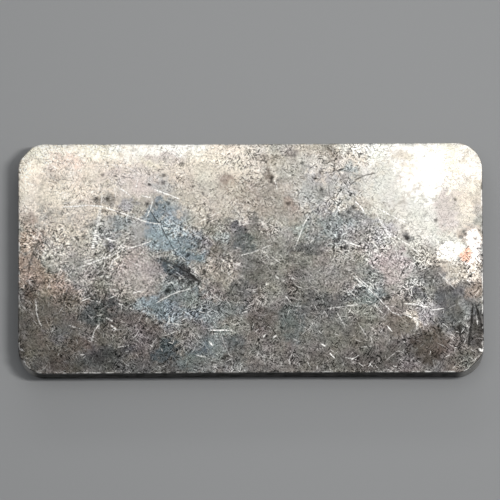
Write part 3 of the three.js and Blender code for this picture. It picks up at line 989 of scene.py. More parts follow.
DARK_SCRATCHES = (
    Scratch(0.07, 0.85, (-10.9, 5.3), (-9.7, 3.6), (-8.8, 1.9)),
    Scratch(0.06, 0.6, (-8.8, 1.9), (-7.9, 0.2)),
    Scratch(0.09, 0.5, (-13.8, 0.7), (-13.1, -0.3)),
    Scratch(0.05, 0.4, (-13.1, -0.3), (-11.8, -1.1)),
    Scratch(0.12, 0.55, (-15.4, 2.0), (-15.4, 0.4)),
    Scratch(0.1, 0.45, (-15.5, 0.0), (-15.5, -1.4)),
    Scratch(0.14, 0.6, (-22.7, 2.0), (-23.2, 0.9), (-23.7, -0.4), (-23.9, -1.6)),
    Scratch(0.09, 0.6, (-17.9, -2.5), (-17.5, -3.7), (-17.7, -4.7)),
    Scratch(0.09, 0.6, (-15.9, -3.0), (-15.5, -3.7), (-15.8, -4.9)),
    Scratch(0.08, 0.6, (-14.4, -2.7), (-13.9, -4.2)),
    Scratch(0.09, 0.5, (-16.4, -0.5), (-17.0, -2.0)),
    Scratch(0.05, 0.4, (-5.8, 3.3), (-5.5, 2.2), (-5.5, 1.1)),
    # the streaks of the black gash
    Scratch(0.07, 0.55, (-10.2, 0.1), (-8.4, -0.7)),
    Scratch(0.07, 0.7, (-9.7, 0.0), (-7.1, -1.3), (-5.6, -2.5)),
    Scratch(0.09, 0.8, (-8.4, -0.4), (-7.1, -1.4)),
    Scratch(0.06, 0.6, (-9.3, -1.0), (-7.5, -2.3)),
    Scratch(0.06, 0.6, (-8.9, -1.5), (-6.9, -2.8)),
    Scratch(0.08, 0.75, (-7.2, -1.0), (-5.7, -1.9)),
    Scratch(0.12, 0.9, (-6.6, -1.7), (-5.5, -2.6)),
    Scratch(0.07, 0.6, (-5.6, -2.6), (-5.8, -3.3), (-6.5, -3.7)),
    Scratch(0.09, 0.5, (-8.0, -2.3), (-7.1, -3.4)),
    # the sandy middle
    Scratch(0.06, 0.5, (1.4, 10.4), (2.2, 10.8), (3.2, 11.1), (5.1, 11.1)),
    Scratch(0.06, 0.5, (7.7, 9.1), (9.6, 9.5)),
    Scratch(0.12, 0.8, (9.4, 9.4), (10.1, 9.7)),
    Scratch(0.05, 0.45, (9.3, 7.4), (10.6, 7.8)),
    Scratch(0.07, 0.65, (10.6, 7.8), (11.4, 8.4)),
    Scratch(0.09, 0.8, (11.2, 8.4), (12.2, 8.9)),
    Scratch(0.07, 0.7, (12.1, 8.9), (13.6, 9.2)),
    Scratch(0.07, 0.5, (8.4, 7.9), (8.5, 6.7)),
    Scratch(0.1, 0.6, (7.5, 7.8), (7.8, 7.1)),
    Scratch(0.06, 0.5, (9.1, 5.9), (8.5, 4.6), (8.4, 3.1)),
    Scratch(0.05, 0.45, (8.0, 5.6), (7.5, 4.8), (7.2, 3.5), (7.1, 1.2)),
    Scratch(0.05, 0.4, (4.1, 0.8), (6.5, 0.6), (8.8, 0.4)),
    Scratch(0.08, 0.7, (9.0, 2.2), (8.9, 0.2)),
    Scratch(0.08, 0.6, (9.0, 2.2), (10.6, 1.9)),
    Scratch(0.06, 0.5, (9.3, 3.2), (10.3, 3.9), (11.4, 4.8), (12.3, 4.6)),
    Scratch(0.05, 0.35, (5.6, 0.3), (5.7, 2.2)),
    Scratch(0.05, 0.35, (9.8, 3.0), (11.0, 2.7)),
    Scratch(0.05, 0.35, (1.4, -3.7), (3.0, -3.7)),
    # the lower right
    Scratch(0.08, 0.7, (16.3, -4.7), (16.2, -5.9)),
    Scratch(0.13, 0.85, (16.4, -4.3), (17.0, -4.9)),
    Scratch(0.1, 0.6, (19.1, -2.5), (19.5, -2.8)),
    Scratch(0.07, 0.55, (18.3, -7.3), (18.1, -8.3)),
    Scratch(0.05, 0.35, (20.2, -0.5), (22.3, -0.5), (22.9, -1.2)),
    Scratch(0.1, 0.6, (22.6, -2.8), (24.4, -2.7)),
    Scratch(0.14, 1.0, (23.8, -5.2), (23.6, -7.4), (23.3, -9.6)),
    Scratch(0.14, 0.95, (22.3, -7.2), (22.5, -8.9)),
    Scratch(0.12, 1.0, (24.1, -5.1), (24.5, -6.4), (24.9, -8.1)),
    Scratch(0.1, 0.5, (21.4, -3.0), (21.8, -3.8)),
    Scratch(0.15, 0.35, (12.0, -6.8), (13.2, -7.1)),
    Scratch(0.1, 0.45, (-2.2, -9.0), (-2.6, -10.1)),
    Scratch(0.1, 0.5, (-1.5, -9.0), (-1.8, -10.1)),
    Scratch(0.06, 0.5, (3.0, -10.1), (3.5, -11.4)),
    Scratch(0.06, 0.5, (3.6, -9.8), (4.4, -10.4)),
    Scratch(0.12, 0.7, (24.9, -3.5), (25.0, -5.1)),
)


# ---------------------------------------------------------------- the silver finish


PATINA_AND_LIGHT = "patina_and_light"


@dataclass(frozen=True)
class PatinaAndLight:
    """The slow colours of the tarnish, with some painted light, laid on the corners of the mesh as a colour
    attribute.
    """

    stains: tuple[Stain, ...]
    grains: tuple[Grain, ...]
    pits: tuple[Point, ...]
    pit_radii: tuple[float, ...] = (0.152, 0.1805, 0.209, 0.2375)
    pit_flatness: float = 0.85
    pit_turn: float = 50.0
    pit_fringe: float = 0.35
    pit_depth: float = 0.7
    # low, middle and high run the face from dark at its near side to pale at its far side: partly tarnish,
    # partly painted light
    high: Colour = (0.665, 0.61, 0.53)
    middle: Colour = (0.245, 0.236, 0.220)
    low: Colour = (0.135, 0.127, 0.118)
    lower_rise: Span = (-9.0, 1.0)
    upper_rise: Span = (0.5, 11.5)
    softness: float = 0.6
    wander: tuple[Point, ...] = ((1.7, 0.55), (0.55, 0.28))
    fringe: tuple[Point, ...] = ((0.9, 1.2), (0.4, 1.5), (0.2, 1.0))
    seed: int = 1

    def lay(self, piece: bpy.types.Object) -> None:
        """Works out the colour of every corner.

        Args:
            piece: The piece that takes the colours.
        """
        noise.seed_set(self.seed)
        mesh = piece.data
        places = np.empty(len(mesh.vertices) * 3)
        mesh.vertices.foreach_get("co", places)
        places = places.reshape(-1, 3) / MM
        drift = np.zeros_like(places)
        for size, reach in self.wander:
            drift += np.array([noise.noise_vector(Vector(place) / size) for place in places]) * reach
        along, up = (places + drift)[:, 0], (places + drift)[:, 1]
        ragged = np.zeros(len(places))
        for size, reach in self.fringe:
            ragged += np.array([noise.noise(Vector(place) / size) for place in places]) * reach
        # painted light in part: the colour rises from low to high towards the far side
        colour = self.mix(np.array([self.low]), self.middle, self.rise(up + ragged, *self.lower_rise))
        colour = self.mix(colour, self.high, self.rise(up + ragged, *self.upper_rise))
        for stain in self.stains:
            cover = self.mask(along, up, stain.centre, stain.half, stain.turn, ragged)
            colour = self.mix(colour, stain.hue.colour(stain.steps), cover)
        strength = np.ones(len(colour))
        for grain in self.grains:
            cover = self.mask(along, up, grain.centre, grain.half)
            strength += (grain.strength - strength) * cover
        for number, pit in enumerate(self.pits):
            radius = self.pit_radii[number % len(self.pit_radii)]
            half = (radius, radius * self.pit_flatness)
            turn = number * self.pit_turn
            hole = self.mask(places[:, 0], places[:, 1], pit, half, turn, ragged * self.pit_fringe)
            colour = colour * (1 - self.pit_depth * hole[:, None])
        layer = mesh.color_attributes.new(name=PATINA_AND_LIGHT, type="FLOAT_COLOR", domain="POINT")
        layer.data.foreach_set("color", np.column_stack((colour, strength)).ravel())

    def mask(
        self,
        x: np.ndarray,
        y: np.ndarray,
        centre: Point,
        half: Point,
        turn: float = 0.0,
        ragged: np.ndarray | float = 0.0,
    ) -> np.ndarray:
        """Finds how far an oval covers each corner.

        Args:
            x: The corners' places along the bar, mm.
            y: The corners' places across the bar, mm.
            centre: The oval's middle, mm.
            half: Its half length and half width, mm.
            turn: How far it is turned anticlockwise, in degrees.
            ragged: How far its edge is moved out at each corner.

        Returns:
            One share from 0 to 1 for each corner.
        """
        cos, sin = math.cos(math.radians(turn)), math.sin(math.radians(turn))
        x, y = x - centre[0], y - centre[1]
        u = (x * cos + y * sin) / half[0]
        v = (y * cos - x * sin) / half[1]
        return self.rise(u * u + v * v - ragged, (1 + self.softness) ** 2, (1 - self.softness) ** 2)

    def rise(self, value: np.ndarray, empty: float, full: float) -> np.ndarray:
        """Gives a share that rises smoothly from 0 at one value to 1 at another."""
        share = np.clip((value - empty) / (full - empty), 0, 1)
        return share * share * (3 - 2 * share)

    def mix(self, under: np.ndarray, over: Colour, share: np.ndarray) -> np.ndarray:
        """Lays one colour over the corners' colours by each corner's share."""
        return under + (np.array(over) - under) * share[:, None]


@dataclass(frozen=True)
class LineSet:
    """One set of short fine lines: the way they run, in radians, their length and their width, mm."""

    turn: float
    length: float
    width: float


@dataclass(frozen=True)
class StrokeSet:
    """One set of scattered strokes: the way they run, in radians, their spacing and width, mm, and a seed."""

    turn: float
    pitch: float
    width: float
    seed: float


@dataclass(frozen=True)
class Form:
    """Where a point lies on the bar, mm, as sockets, and the height of the bar's upper face, mm."""

    point: bpy.types.NodeSocket
    along: bpy.types.NodeSocket
    across: bpy.types.NodeSocket
    height: bpy.types.NodeSocket
    inset: bpy.types.NodeSocket
    top: float

    def below_top(self, sheet: Sheet, depths: Span) -> bpy.types.NodeSocket:
        """Gives a mask by the depth below the upper face, from where it is empty to where it is full."""
        return sheet.ease(self.height, self.top - depths[0], self.top - depths[1])


@dataclass(frozen=True)
class Wear:
    """The tarnish, which carries some painted light, and the masks of the worn skin, as sockets."""

    tarnish: bpy.types.NodeSocket
    green: bpy.types.NodeSocket
    strength: bpy.types.NodeSocket
    grain: bpy.types.NodeSocket
    mottle: bpy.types.NodeSocket
    busy: bpy.types.NodeSocket
    fray: bpy.types.NodeSocket
    flecks: bpy.types.NodeSocket
    gouges: bpy.types.NodeSocket
    cuts: bpy.types.NodeSocket
    pits: bpy.types.NodeSocket


@dataclass(frozen=True)
class SilverFinish:
    """Worn, tarnished silver: a pale frosted upper end, cool patches, brown lower end and scratches. The pale
    upper end is partly painted light, and the near and left walls carry painted shade.

    A span gives where a mask is empty and where it is full, or the least and the most of a value. A ramp
    gives the two values that are read and what they become. Sizes, insets and depths are in mm.
    """

    title: str = "worn_silver_with_painted_light"
    # painted shade: the near-black of the near and left walls
    painted_shade_wall: Colour = (0.008, 0.008, 0.0075)
    clean_wall: Colour = (0.55, 0.54, 0.52)

    grain_size: float = 0.17
    mottle_size: float = 1.0
    patch_size: float = 2.8
    patch_span: Span = (0.40, 0.62)
    patch_lift: Span = (0.9, 1.2)
    fray_span: Span = (0.55, 1.45)
    lines_warp: Span = (0.8, 0.26)
    marks_warp: Span = (0.6, 0.09)
    fleck_sets: tuple[LineSet, ...] = (
        LineSet(0.65, 0.8, 0.10),
        LineSet(-0.5, 0.7, 0.10),
        LineSet(-1.25, 0.6, 0.11),
    )
    fleck_threshold: float = 0.60
    fleck_height: float = -0.3
    gouge_sets: tuple[LineSet, ...] = (
        LineSet(0.2, 0.7, 0.11),
        LineSet(1.05, 0.7, 0.11),
        LineSet(-0.9, 0.6, 0.12),
    )
    gouge_threshold: float = 0.62
    gouge_height: float = -0.4
    seed_spread: float = 29.0
    stroke_sets: tuple[StrokeSet, ...] = (StrokeSet(0.3, 2.1, 0.05, 1.0), StrokeSet(0.9, 1.3, 0.045, 2.0))
    stroke_share: float = 0.85
    pit_pitch: float = 0.62
    pit_radius: float = 0.30
    pit_share: float = 0.4
    pit_height: float = -0.5
    mottle_height: float = 0.6

    speckle: Ramp = (0.24, 0.76, -0.68, 0.68)
    cloud: Ramp = (0.25, 0.75, -0.09, 0.09)
    pale_gleam: Ramp = (0.20, 0.48, 1.0, 0.25)
    dark_gleam: Ramp = (0.06, 0.18, 0.5, 1.1)
    least_shade: float = 0.1
    glint_span: Span = (0.61, 0.73)
    glint_strength: float = 0.95
    fleck_strength: float = 1.15
    soot_span: Span = (0.37, 0.26)
    soot_strength: float = 0.55
    pit_strength: float = 0.5
    gouge_strength: float = 0.9
    bleach: float = 0.2
    most_bleach: float = 0.4
    sheen_size: float = 2.4
    sheen: Colour = (0.255, 0.075, 0.255)
    sheen_fade: Ramp = (0.12, 0.4, 1.0, 0.45)
    cut_strength: float = 0.42
    dark_skips: Ramp = (0.30, 0.52, 0.35, 1.0)
    bright_skips: Ramp = (0.38, 0.56, 0.15, 1.1)
    bright_keen: Ramp = (0.06, 0.42, 0.7, 1.4)

    face_depths: Span = (0.9, 0.3)
    side_depths: Span = (0.12, 0.4)
    side_patches: Ramp = (0.3, 0.7, 0.7, 1.0)
    # painted shade on the near and left walls, faded out at the far side, the right end and the near left
    # corner
    wall_shade_depths: Span = (0.20, 0.42)
    wall_shade_inset: Span = (0.6, 0.2)
    wall_shade_patches: Ramp = (0.3, 0.7, 0.75, 1.0)
    far_side: Span = (11.8, 10.4)
    right_end: Span = (23.0, 21.8)
    near_left_offset: float = 12.5
    near_left: Span = (-11.4, -10.2)
    rub_depths: Span = (0.32, 0.16)
    rub_inset: Span = (0.26, 0.14)
    rub_size: float = 0.7
    rub_span: Span = (0.47, 0.6)
    rub_strength: float = 0.5

    roughness: Span = (0.42, 0.58)
    cut_polish: float = -0.08
    side_roughness: float = 0.35
    bump_depth: float = 0.013 * MM

    def dress(self, piece: bpy.types.Object, sizes: BarSizes) -> bpy.types.Material:
        """Builds the material and gives it to a piece.

        Args:
            piece: The piece that takes it.
            sizes: The bar's own sizes, for masks that follow its form.

        Returns:
            The new material.
        """
        material = bpy.data.materials.new(self.title)
        material.use_nodes = True
        tree = material.node_tree
        tree.nodes.clear()
        self.shade(Sheet(tree), sizes)
        piece.data.materials.clear()
        piece.data.materials.append(material)
        log.info("finish %s: %d nodes", self.title, len(tree.nodes))
        return material

    def shade(self, sheet: Sheet, sizes: BarSizes) -> None:
        """Draws the whole finish.

        Args:
            sheet: The material's sheet.
            sizes: The bar's own sizes.
        """
        form = self.read_form(sheet, sizes)
        wear = self.read_wear(sheet, form.point)
        side = form.below_top(sheet, self.side_depths)
        colour = self.draw_grain(sheet, form.point, wear)
        colour = self.draw_scratches(sheet, form, wear, colour)
        colour = self.draw_walls(sheet, form, wear, side, colour)
        colour = self.draw_rub(sheet, form, colour)
        rough = sheet.between(wear.grain, *self.roughness)
        rough = sheet.math("MULTIPLY_ADD", wear.cuts, self.cut_polish, rough)
        rough = sheet.math("MULTIPLY_ADD", side, self.side_roughness, rough)
        relief = self.raise_relief(sheet, wear)
        feeds = {"Base Color": colour, "Roughness": rough, "Metallic": 1.0, "Normal": relief}
        shader = sheet.add("BsdfPrincipled", feeds)
        output = sheet.add("OutputMaterial")
        sheet.tree.links.new(shader.outputs[0], output.inputs["Surface"])

    def read_form(self, sheet: Sheet, sizes: BarSizes) -> Form:
        """Reads where each point lies on the bar.

        Args:
            sheet: The material's sheet.
            sizes: The bar's own sizes.

        Returns:
            The place, its height and how far it lies inside the outline.
        """
        place = sheet.add("TexCoord").outputs["Object"]
        point = sheet.add("Mapping", {"Vector": place, "Scale": (1 / MM,) * 3}).outputs[0]
        along, across, height = sheet.add("SeparateXYZ", {0: point}).outputs
        half_size = (sizes.length / 2 / MM, sizes.width / 2 / MM, 0)
        corner = sizes.corner_radius / MM
        inset = OutlineInset().place(sheet, point=point, half_size=half_size, corner=corner)
        return Form(point, along, across, height, inset, sizes.thickness / MM)

    def read_wear(self, sheet: Sheet, point: Feed) -> Wear:
        """Reads the tarnish and draws the masks of the worn skin.

        Args:
            sheet: The material's sheet.
            point: The place on the bar, mm.

        Returns:
            The tarnish and the masks.
        """
        patina_and_light = sheet.add("Attribute", attribute_name=PATINA_AND_LIGHT)
        tarnish, strength = patina_and_light.outputs["Color"], patina_and_light.outputs["Alpha"]
        busy = sheet.ease(sheet.noise(point, self.patch_size, detail=2.0, rough=0.6), *self.patch_span)
        fray = sheet.between(busy, *self.fray_span)
        size, reach = self.lines_warp
        worn = Warp().place(sheet, point=point, size=size, reach=reach)
        cuts = sheet.math("MULTIPLY", self.strokes(sheet, worn), sheet.math("MULTIPLY", fray, strength))
        return Wear(
            tarnish=tarnish,
            green=sheet.add("SeparateColor", {0: tarnish}).outputs[1],
            strength=strength,
            grain=sheet.noise(point, self.grain_size, detail=1.0, rough=0.8),
            mottle=sheet.noise(point, self.mottle_size, detail=2.0, rough=0.6),
            busy=busy,
            fray=fray,
            flecks=self.lines(sheet, worn, self.fleck_sets, self.fleck_threshold),
            gouges=self.lines(sheet, worn, self.gouge_sets, self.gouge_threshold),
            cuts=cuts,
            pits=Pits().place(
                sheet, point=point, pitch=self.pit_pitch, radius=self.pit_radius, share=self.pit_share
            ),
        )

    def lines(self, sheet: Sheet, point: Feed, sets: Sequence[LineSet], threshold: float) -> Feed:
        """Crosses sets of short fine lines.

        Args:
            sheet: The material's sheet.
            point: The place on the bar, mm.
            sets: The sets of lines.
            threshold: How scarce they are.

        Returns:
            The mask of them all.
        """
        total: Feed = 0.0
        for one in sets:
            line = Hairlines().place(
                sheet,
                point=point,
                turn=one.turn,
                length=one.length,
                width=one.width,
                threshold=threshold,
                seed=one.turn * self.seed_spread,
            )
            total = sheet.math("MAXIMUM", total, line)
        return total

    def strokes(self, sheet: Sheet, point: Feed) -> Feed:
        """Crosses the sets of scattered strokes.

        Args:
            sheet: The material's sheet.
            point: The place on the bar, mm.

        Returns:
            The mask of them all.
        """
        total: Feed = 0.0
        for one in self.stroke_sets:
            stroke = Strokes().place(
                sheet,
                point=point,
                turn=one.turn,
                pitch=one.pitch,
                width=one.width,
                share=self.stroke_share,
                seed=one.seed,
            )
            total = sheet.math("MAXIMUM", total, stroke)
        return total

    def scratches(self, sheet: Sheet, point: Feed, marks: Sequence[Scratch]) -> Feed:
        """Places the scratches of one list.

        Args:
            sheet: The material's sheet.
            point: The place on the bar, mm, laid flat.
            marks: The scratches.

        Returns:
            The mask of them all.
        """
        total: Feed = 0.0
        for mark in marks:
            for start, end in pairwise(Vector((*place, 0)) for place in mark.path):
                run = end - start
                way = run.normalized()
                total = Oval().place(
                    sheet,
                    point=point,
                    over=total,
                    centre=(start + end) / 2,
                    along=way / (run.length / 2),
                    across=Vector((-way.y, way.x, 0)) / mark.width,
                    strength=mark.strength,
                )
        return total

    def draw_grain(self, sheet: Sheet, point: Feed, wear: Wear) -> bpy.types.NodeSocket:
        """Draws grain, glints and soot over the tarnish, with a slow sheen of colour.

        Args:
            sheet: The material's sheet.
            point: The place on the bar, mm.
            wear: The tarnish and the masks.

        Returns:
            The colour's socket.
        """
        pale_gleam = sheet.remap(wear.green, *self.pale_gleam)
        gleam = sheet.math("MINIMUM", pale_gleam, sheet.remap(wear.green, *self.dark_gleam))
        fleck_share = sheet.math("MULTIPLY", wear.fray, self.fleck_strength)
        glints = sheet.math("MULTIPLY", wear.flecks, fleck_share)
        glints = sheet.math(
            "MULTIPLY_ADD", sheet.ease(wear.grain, *self.glint_span), self.glint_strength, glints
        )
        soot = sheet.math("MULTIPLY", wear.pits, self.pit_strength)
        soot = sheet.math("MULTIPLY_ADD", sheet.ease(wear.grain, *self.soot_span), self.soot_strength, soot)
        gouge_share = sheet.math("MULTIPLY", wear.fray, self.gouge_strength)
        soot = sheet.math("MULTIPLY_ADD", wear.gouges, gouge_share, soot)
        speckle = sheet.remap(wear.grain, *self.speckle)
        lift = sheet.math("ADD", speckle, sheet.remap(wear.mottle, *self.cloud))
        lift = sheet.math("MULTIPLY_ADD", glints, gleam, lift)
        lift = sheet.math("SUBTRACT", lift, soot)
        lift = sheet.math("MULTIPLY", lift, sheet.between(wear.busy, *self.patch_lift))
        shade = sheet.math("MULTIPLY_ADD", lift, wear.strength, 1.0)
        shade = sheet.math("MAXIMUM", shade, self.least_shade)
        tints = sheet.vector("SCALE", self.slow_sheen(sheet, point, wear), scale=shade)
        colour = sheet.tint(1.0, wear.tarnish, tints, "MULTIPLY")
        pale = sheet.math("MINIMUM", sheet.math("MULTIPLY", glints, self.bleach), self.most_bleach)
        feeds = {"Saturation": sheet.math("SUBTRACT", 1.0, pale), "Color": colour}
        colour = sheet.add("HueSaturation", feeds).outputs[0]
        return sheet.tint(sheet.math("MULTIPLY", wear.cuts, self.cut_strength), colour, Tone.BARE.value)

    def slow_sheen(self, sheet: Sheet, point: Feed, wear: Wear) -> bpy.types.NodeSocket:
        """Draws slow colours that come and go, fainter where the metal is pale.

        Args:
            sheet: The material's sheet.
            point: The place on the bar, mm.
            wear: The tarnish and the masks.

        Returns:
            Factors of red, green and blue round 1.
        """
        feeds = {"Vector": point, "Scale": 1.0 / self.sheen_size, "Detail": 1.0, "Roughness": 0.6}
        drift = sheet.add("TexNoise", feeds).outputs["Color"]
        drift = sheet.vector("SUBTRACT", drift, (0.5, 0.5, 0.5))
        drift = sheet.vector("SCALE", drift, scale=sheet.remap(wear.green, *self.sheen_fade))
        return sheet.vector("MULTIPLY_ADD", drift, self.sheen, (1, 1, 1))

    def draw_scratches(self, sheet: Sheet, form: Form, wear: Wear, colour: Feed) -> bpy.types.NodeSocket:
        """Draws the placed scratches, which skip where the grain is low.

        Args:
            sheet: The material's sheet.
            form: Where each point lies on the bar.
            wear: The tarnish and the masks.
            colour: The colour under them.

        Returns:
            The colour's socket.
        """
        size, reach = self.marks_warp
        warped = Warp().place(sheet, point=form.point, size=size, reach=reach)
        flat = sheet.vector("MULTIPLY", warped, (1, 1, 0))
        face = form.below_top(sheet, self.face_depths)
        dark = sheet.math("MULTIPLY", self.scratches(sheet, flat, DARK_SCRATCHES), face)
        skips = sheet.remap(wear.grain, *self.dark_skips)
        colour = sheet.tint(sheet.math("MULTIPLY", dark, skips), colour, Tone.SOOT.value)
        bright = sheet.math("MULTIPLY", self.scratches(sheet, flat, BRIGHT_SCRATCHES), face)
        skips = sheet.remap(wear.grain, *self.bright_skips)
        keen = sheet.math("MULTIPLY", skips, sheet.remap(wear.green, *self.bright_keen))
        keen = sheet.math("MINIMUM", sheet.math("MULTIPLY", bright, keen), 1.0)
        return sheet.tint(keen, colour, Tone.BARE.value)

    def draw_walls(
        self, sheet: Sheet, form: Form, wear: Wear, side: Feed, colour: Feed
    ) -> bpy.types.NodeSocket:
        """Cleans the walls, and paints shade on the near one and the left one, which face away from the
        lamps.

        Args:
            sheet: The material's sheet.
            form: Where each point lies on the bar.
            wear: The tarnish and the masks.
            side: The mask of the walls.
            colour: The colour under them.

        Returns:
            The colour's socket.
        """
        cleaned = sheet.math("MULTIPLY", side, sheet.remap(wear.mottle, *self.side_patches))
        colour = sheet.tint(cleaned, colour, self.clean_wall)
        from_corner = sheet.math("ADD", form.along, self.near_left_offset)
        from_corner = sheet.math("MAXIMUM", form.across, from_corner)
        # painted shade: the near and left walls, which face away from the lamps, are darkened nearly to black
        wall_shade = form.below_top(sheet, self.wall_shade_depths)
        for limit in (
            sheet.ease(form.inset, *self.wall_shade_inset),
            sheet.ease(form.across, *self.far_side),
            sheet.ease(form.along, *self.right_end),
            sheet.ease(from_corner, *self.near_left),
            sheet.remap(wear.mottle, *self.wall_shade_patches),
        ):
            wall_shade = sheet.math("MULTIPLY", wall_shade, limit)
        return sheet.tint(wall_shade, colour, self.painted_shade_wall)

    def draw_rub(self, sheet: Sheet, form: Form, colour: Feed) -> bpy.types.NodeSocket:
        """Rubs the upper edge bright in places.

        Args:
            sheet: The material's sheet.
            form: Where each point lies on the bar.
            colour: The colour under it.

        Returns:
            The colour's socket.
        """
        rim = sheet.ease(form.inset, *self.rub_inset)
        rub = sheet.math("MULTIPLY", rim, form.below_top(sheet, self.rub_depths))
        broken = sheet.ease(sheet.noise(form.point, self.rub_size, detail=3.0), *self.rub_span)
        rub = sheet.math("MULTIPLY", rub, broken)
        return sheet.tint(sheet.math("MULTIPLY", rub, self.rub_strength), colour, Tone.BARE.value)

    def raise_relief(self, sheet: Sheet, wear: Wear) -> bpy.types.NodeSocket:
        """Raises the grain and sinks the lines and pits.

        Args:
            sheet: The material's sheet.
            wear: The masks.

        Returns:
            The normal's socket.
        """
        relief = wear.grain
        for mask, height in (
            (wear.mottle, self.mottle_height),
            (wear.flecks, self.fleck_height),
            (wear.gouges, self.gouge_height),
            (wear.pits, self.pit_height),
        ):
            relief = sheet.math("MULTIPLY_ADD", mask, height, relief)
        feeds = {"Strength": 1.0, "Distance": self.bump_depth, "Height": relief}
        return sheet.add("Bump", feeds).outputs[0]


# ---------------------------------------------------------------- the bar


class Pick(Enum):
    """What a choice in edit mode picks."""

    CORNER = "VERT"
    EDGE = "EDGE"


class Falloff(Enum):
    """How a pull fades with distance."""

    SMOOTH = "SMOOTH"
    SHARP = "SHARP"


@dataclass(frozen=True)
class Push:
    """A pull on the metal: what is within the grip of a place moves, and the rest follows less and less."""

    place: Place
    way: Place
    grip: float
    reach: float
    falloff: Falloff = Falloff.SMOOTH


@dataclass
class BarSizes:
    """The bar's sizes in metres. The outer three come from the frame."""

    length: float
    width: float
    thickness: float
    corner_radius: float = 2.9 * MM
    shoulder_reach: float = 0.14 * MM
    shoulder_drop: float = 0.12 * MM
    heel_radius: float = 0.12 * MM
    side_waist: float = 0.06 * MM
    rim_reach: float = 0.9 * MM
    crown: float = 0.03 * MM
    cell: float = 0.14 * MM
    shoulder_steps: int = 6
    wall_steps: int = 12
    heel_steps: int = 3
    under_steps: int = 3
    fine_steps: int = 10

    @property
    def corner_x(self) -> float:
        """How far each corner's axis lies from the middle, along the bar."""
        return self.length / 2 - self.corner_radius

    @property
    def corner_y(self) -> float:
        """How far each corner's axis lies from the middle, across the bar."""
        return self.width / 2 - self.corner_radius

    @property
    def corner_steps(self) -> int:
        """How many steps turn one corner."""
        return round(math.pi / 2 * self.corner_radius / self.cell)

    def coarse(self, span: float) -> int:
        """How many coarse steps, of fine_steps cells each, a straight side has."""
        return round(span / self.cell / self.fine_steps)

    def section(self) -> list[Point]:
        """Draws the rim from a corner's axis, over the shoulder, down the wall and back under.

        Returns:
            Points of outward distance and height, in metres.
        """
        flat = self.corner_radius - self.shoulder_reach
        steps = round(flat / self.cell)
        points = []
        for i in range(steps + 1):
            share = i / steps
            points.append((flat * share, self.thickness - self.crown * share**3))
        shoulder = self.thickness - self.crown
        for i in range(1, self.shoulder_steps + 1):
            turn = math.pi / 2 * i / self.shoulder_steps
            out = flat + self.shoulder_reach * math.sin(turn)
            points.append((out, shoulder - self.shoulder_drop * (1 - math.cos(turn))))
        wall_top = shoulder - self.shoulder_drop
        for i in range(1, self.wall_steps + 1):
            height = wall_top + (self.heel_radius - wall_top) * i / self.wall_steps
            points.append((self.corner_radius, height))
        for i in range(1, self.heel_steps + 1):
            turn = math.pi / 2 * i / self.heel_steps
            out = self.corner_radius - self.heel_radius * (1 - math.cos(turn))
            points.append((out, self.heel_radius * (1 - math.sin(turn))))
        for i in range(1, self.under_steps + 1):
            points.append(((self.corner_radius - self.heel_radius) * (1 - i / self.under_steps), 0.0))
        return points


@dataclass
class Side:
    """One straight side: the corner that it runs to, the way it runs, its length and its coarse steps."""

    heading: Vector
    corner: Vector
    span: float
    steps: int

    @property
    def outward(self) -> Vector:
        """The way that the side faces."""
        return Vector((self.heading.y, -self.heading.x, 0))


@dataclass(frozen=True)
class Relief:
    """Unevenness that sinks into the skin and never rises over it."""

    title: str
    size: float
    depth: float
    group: str


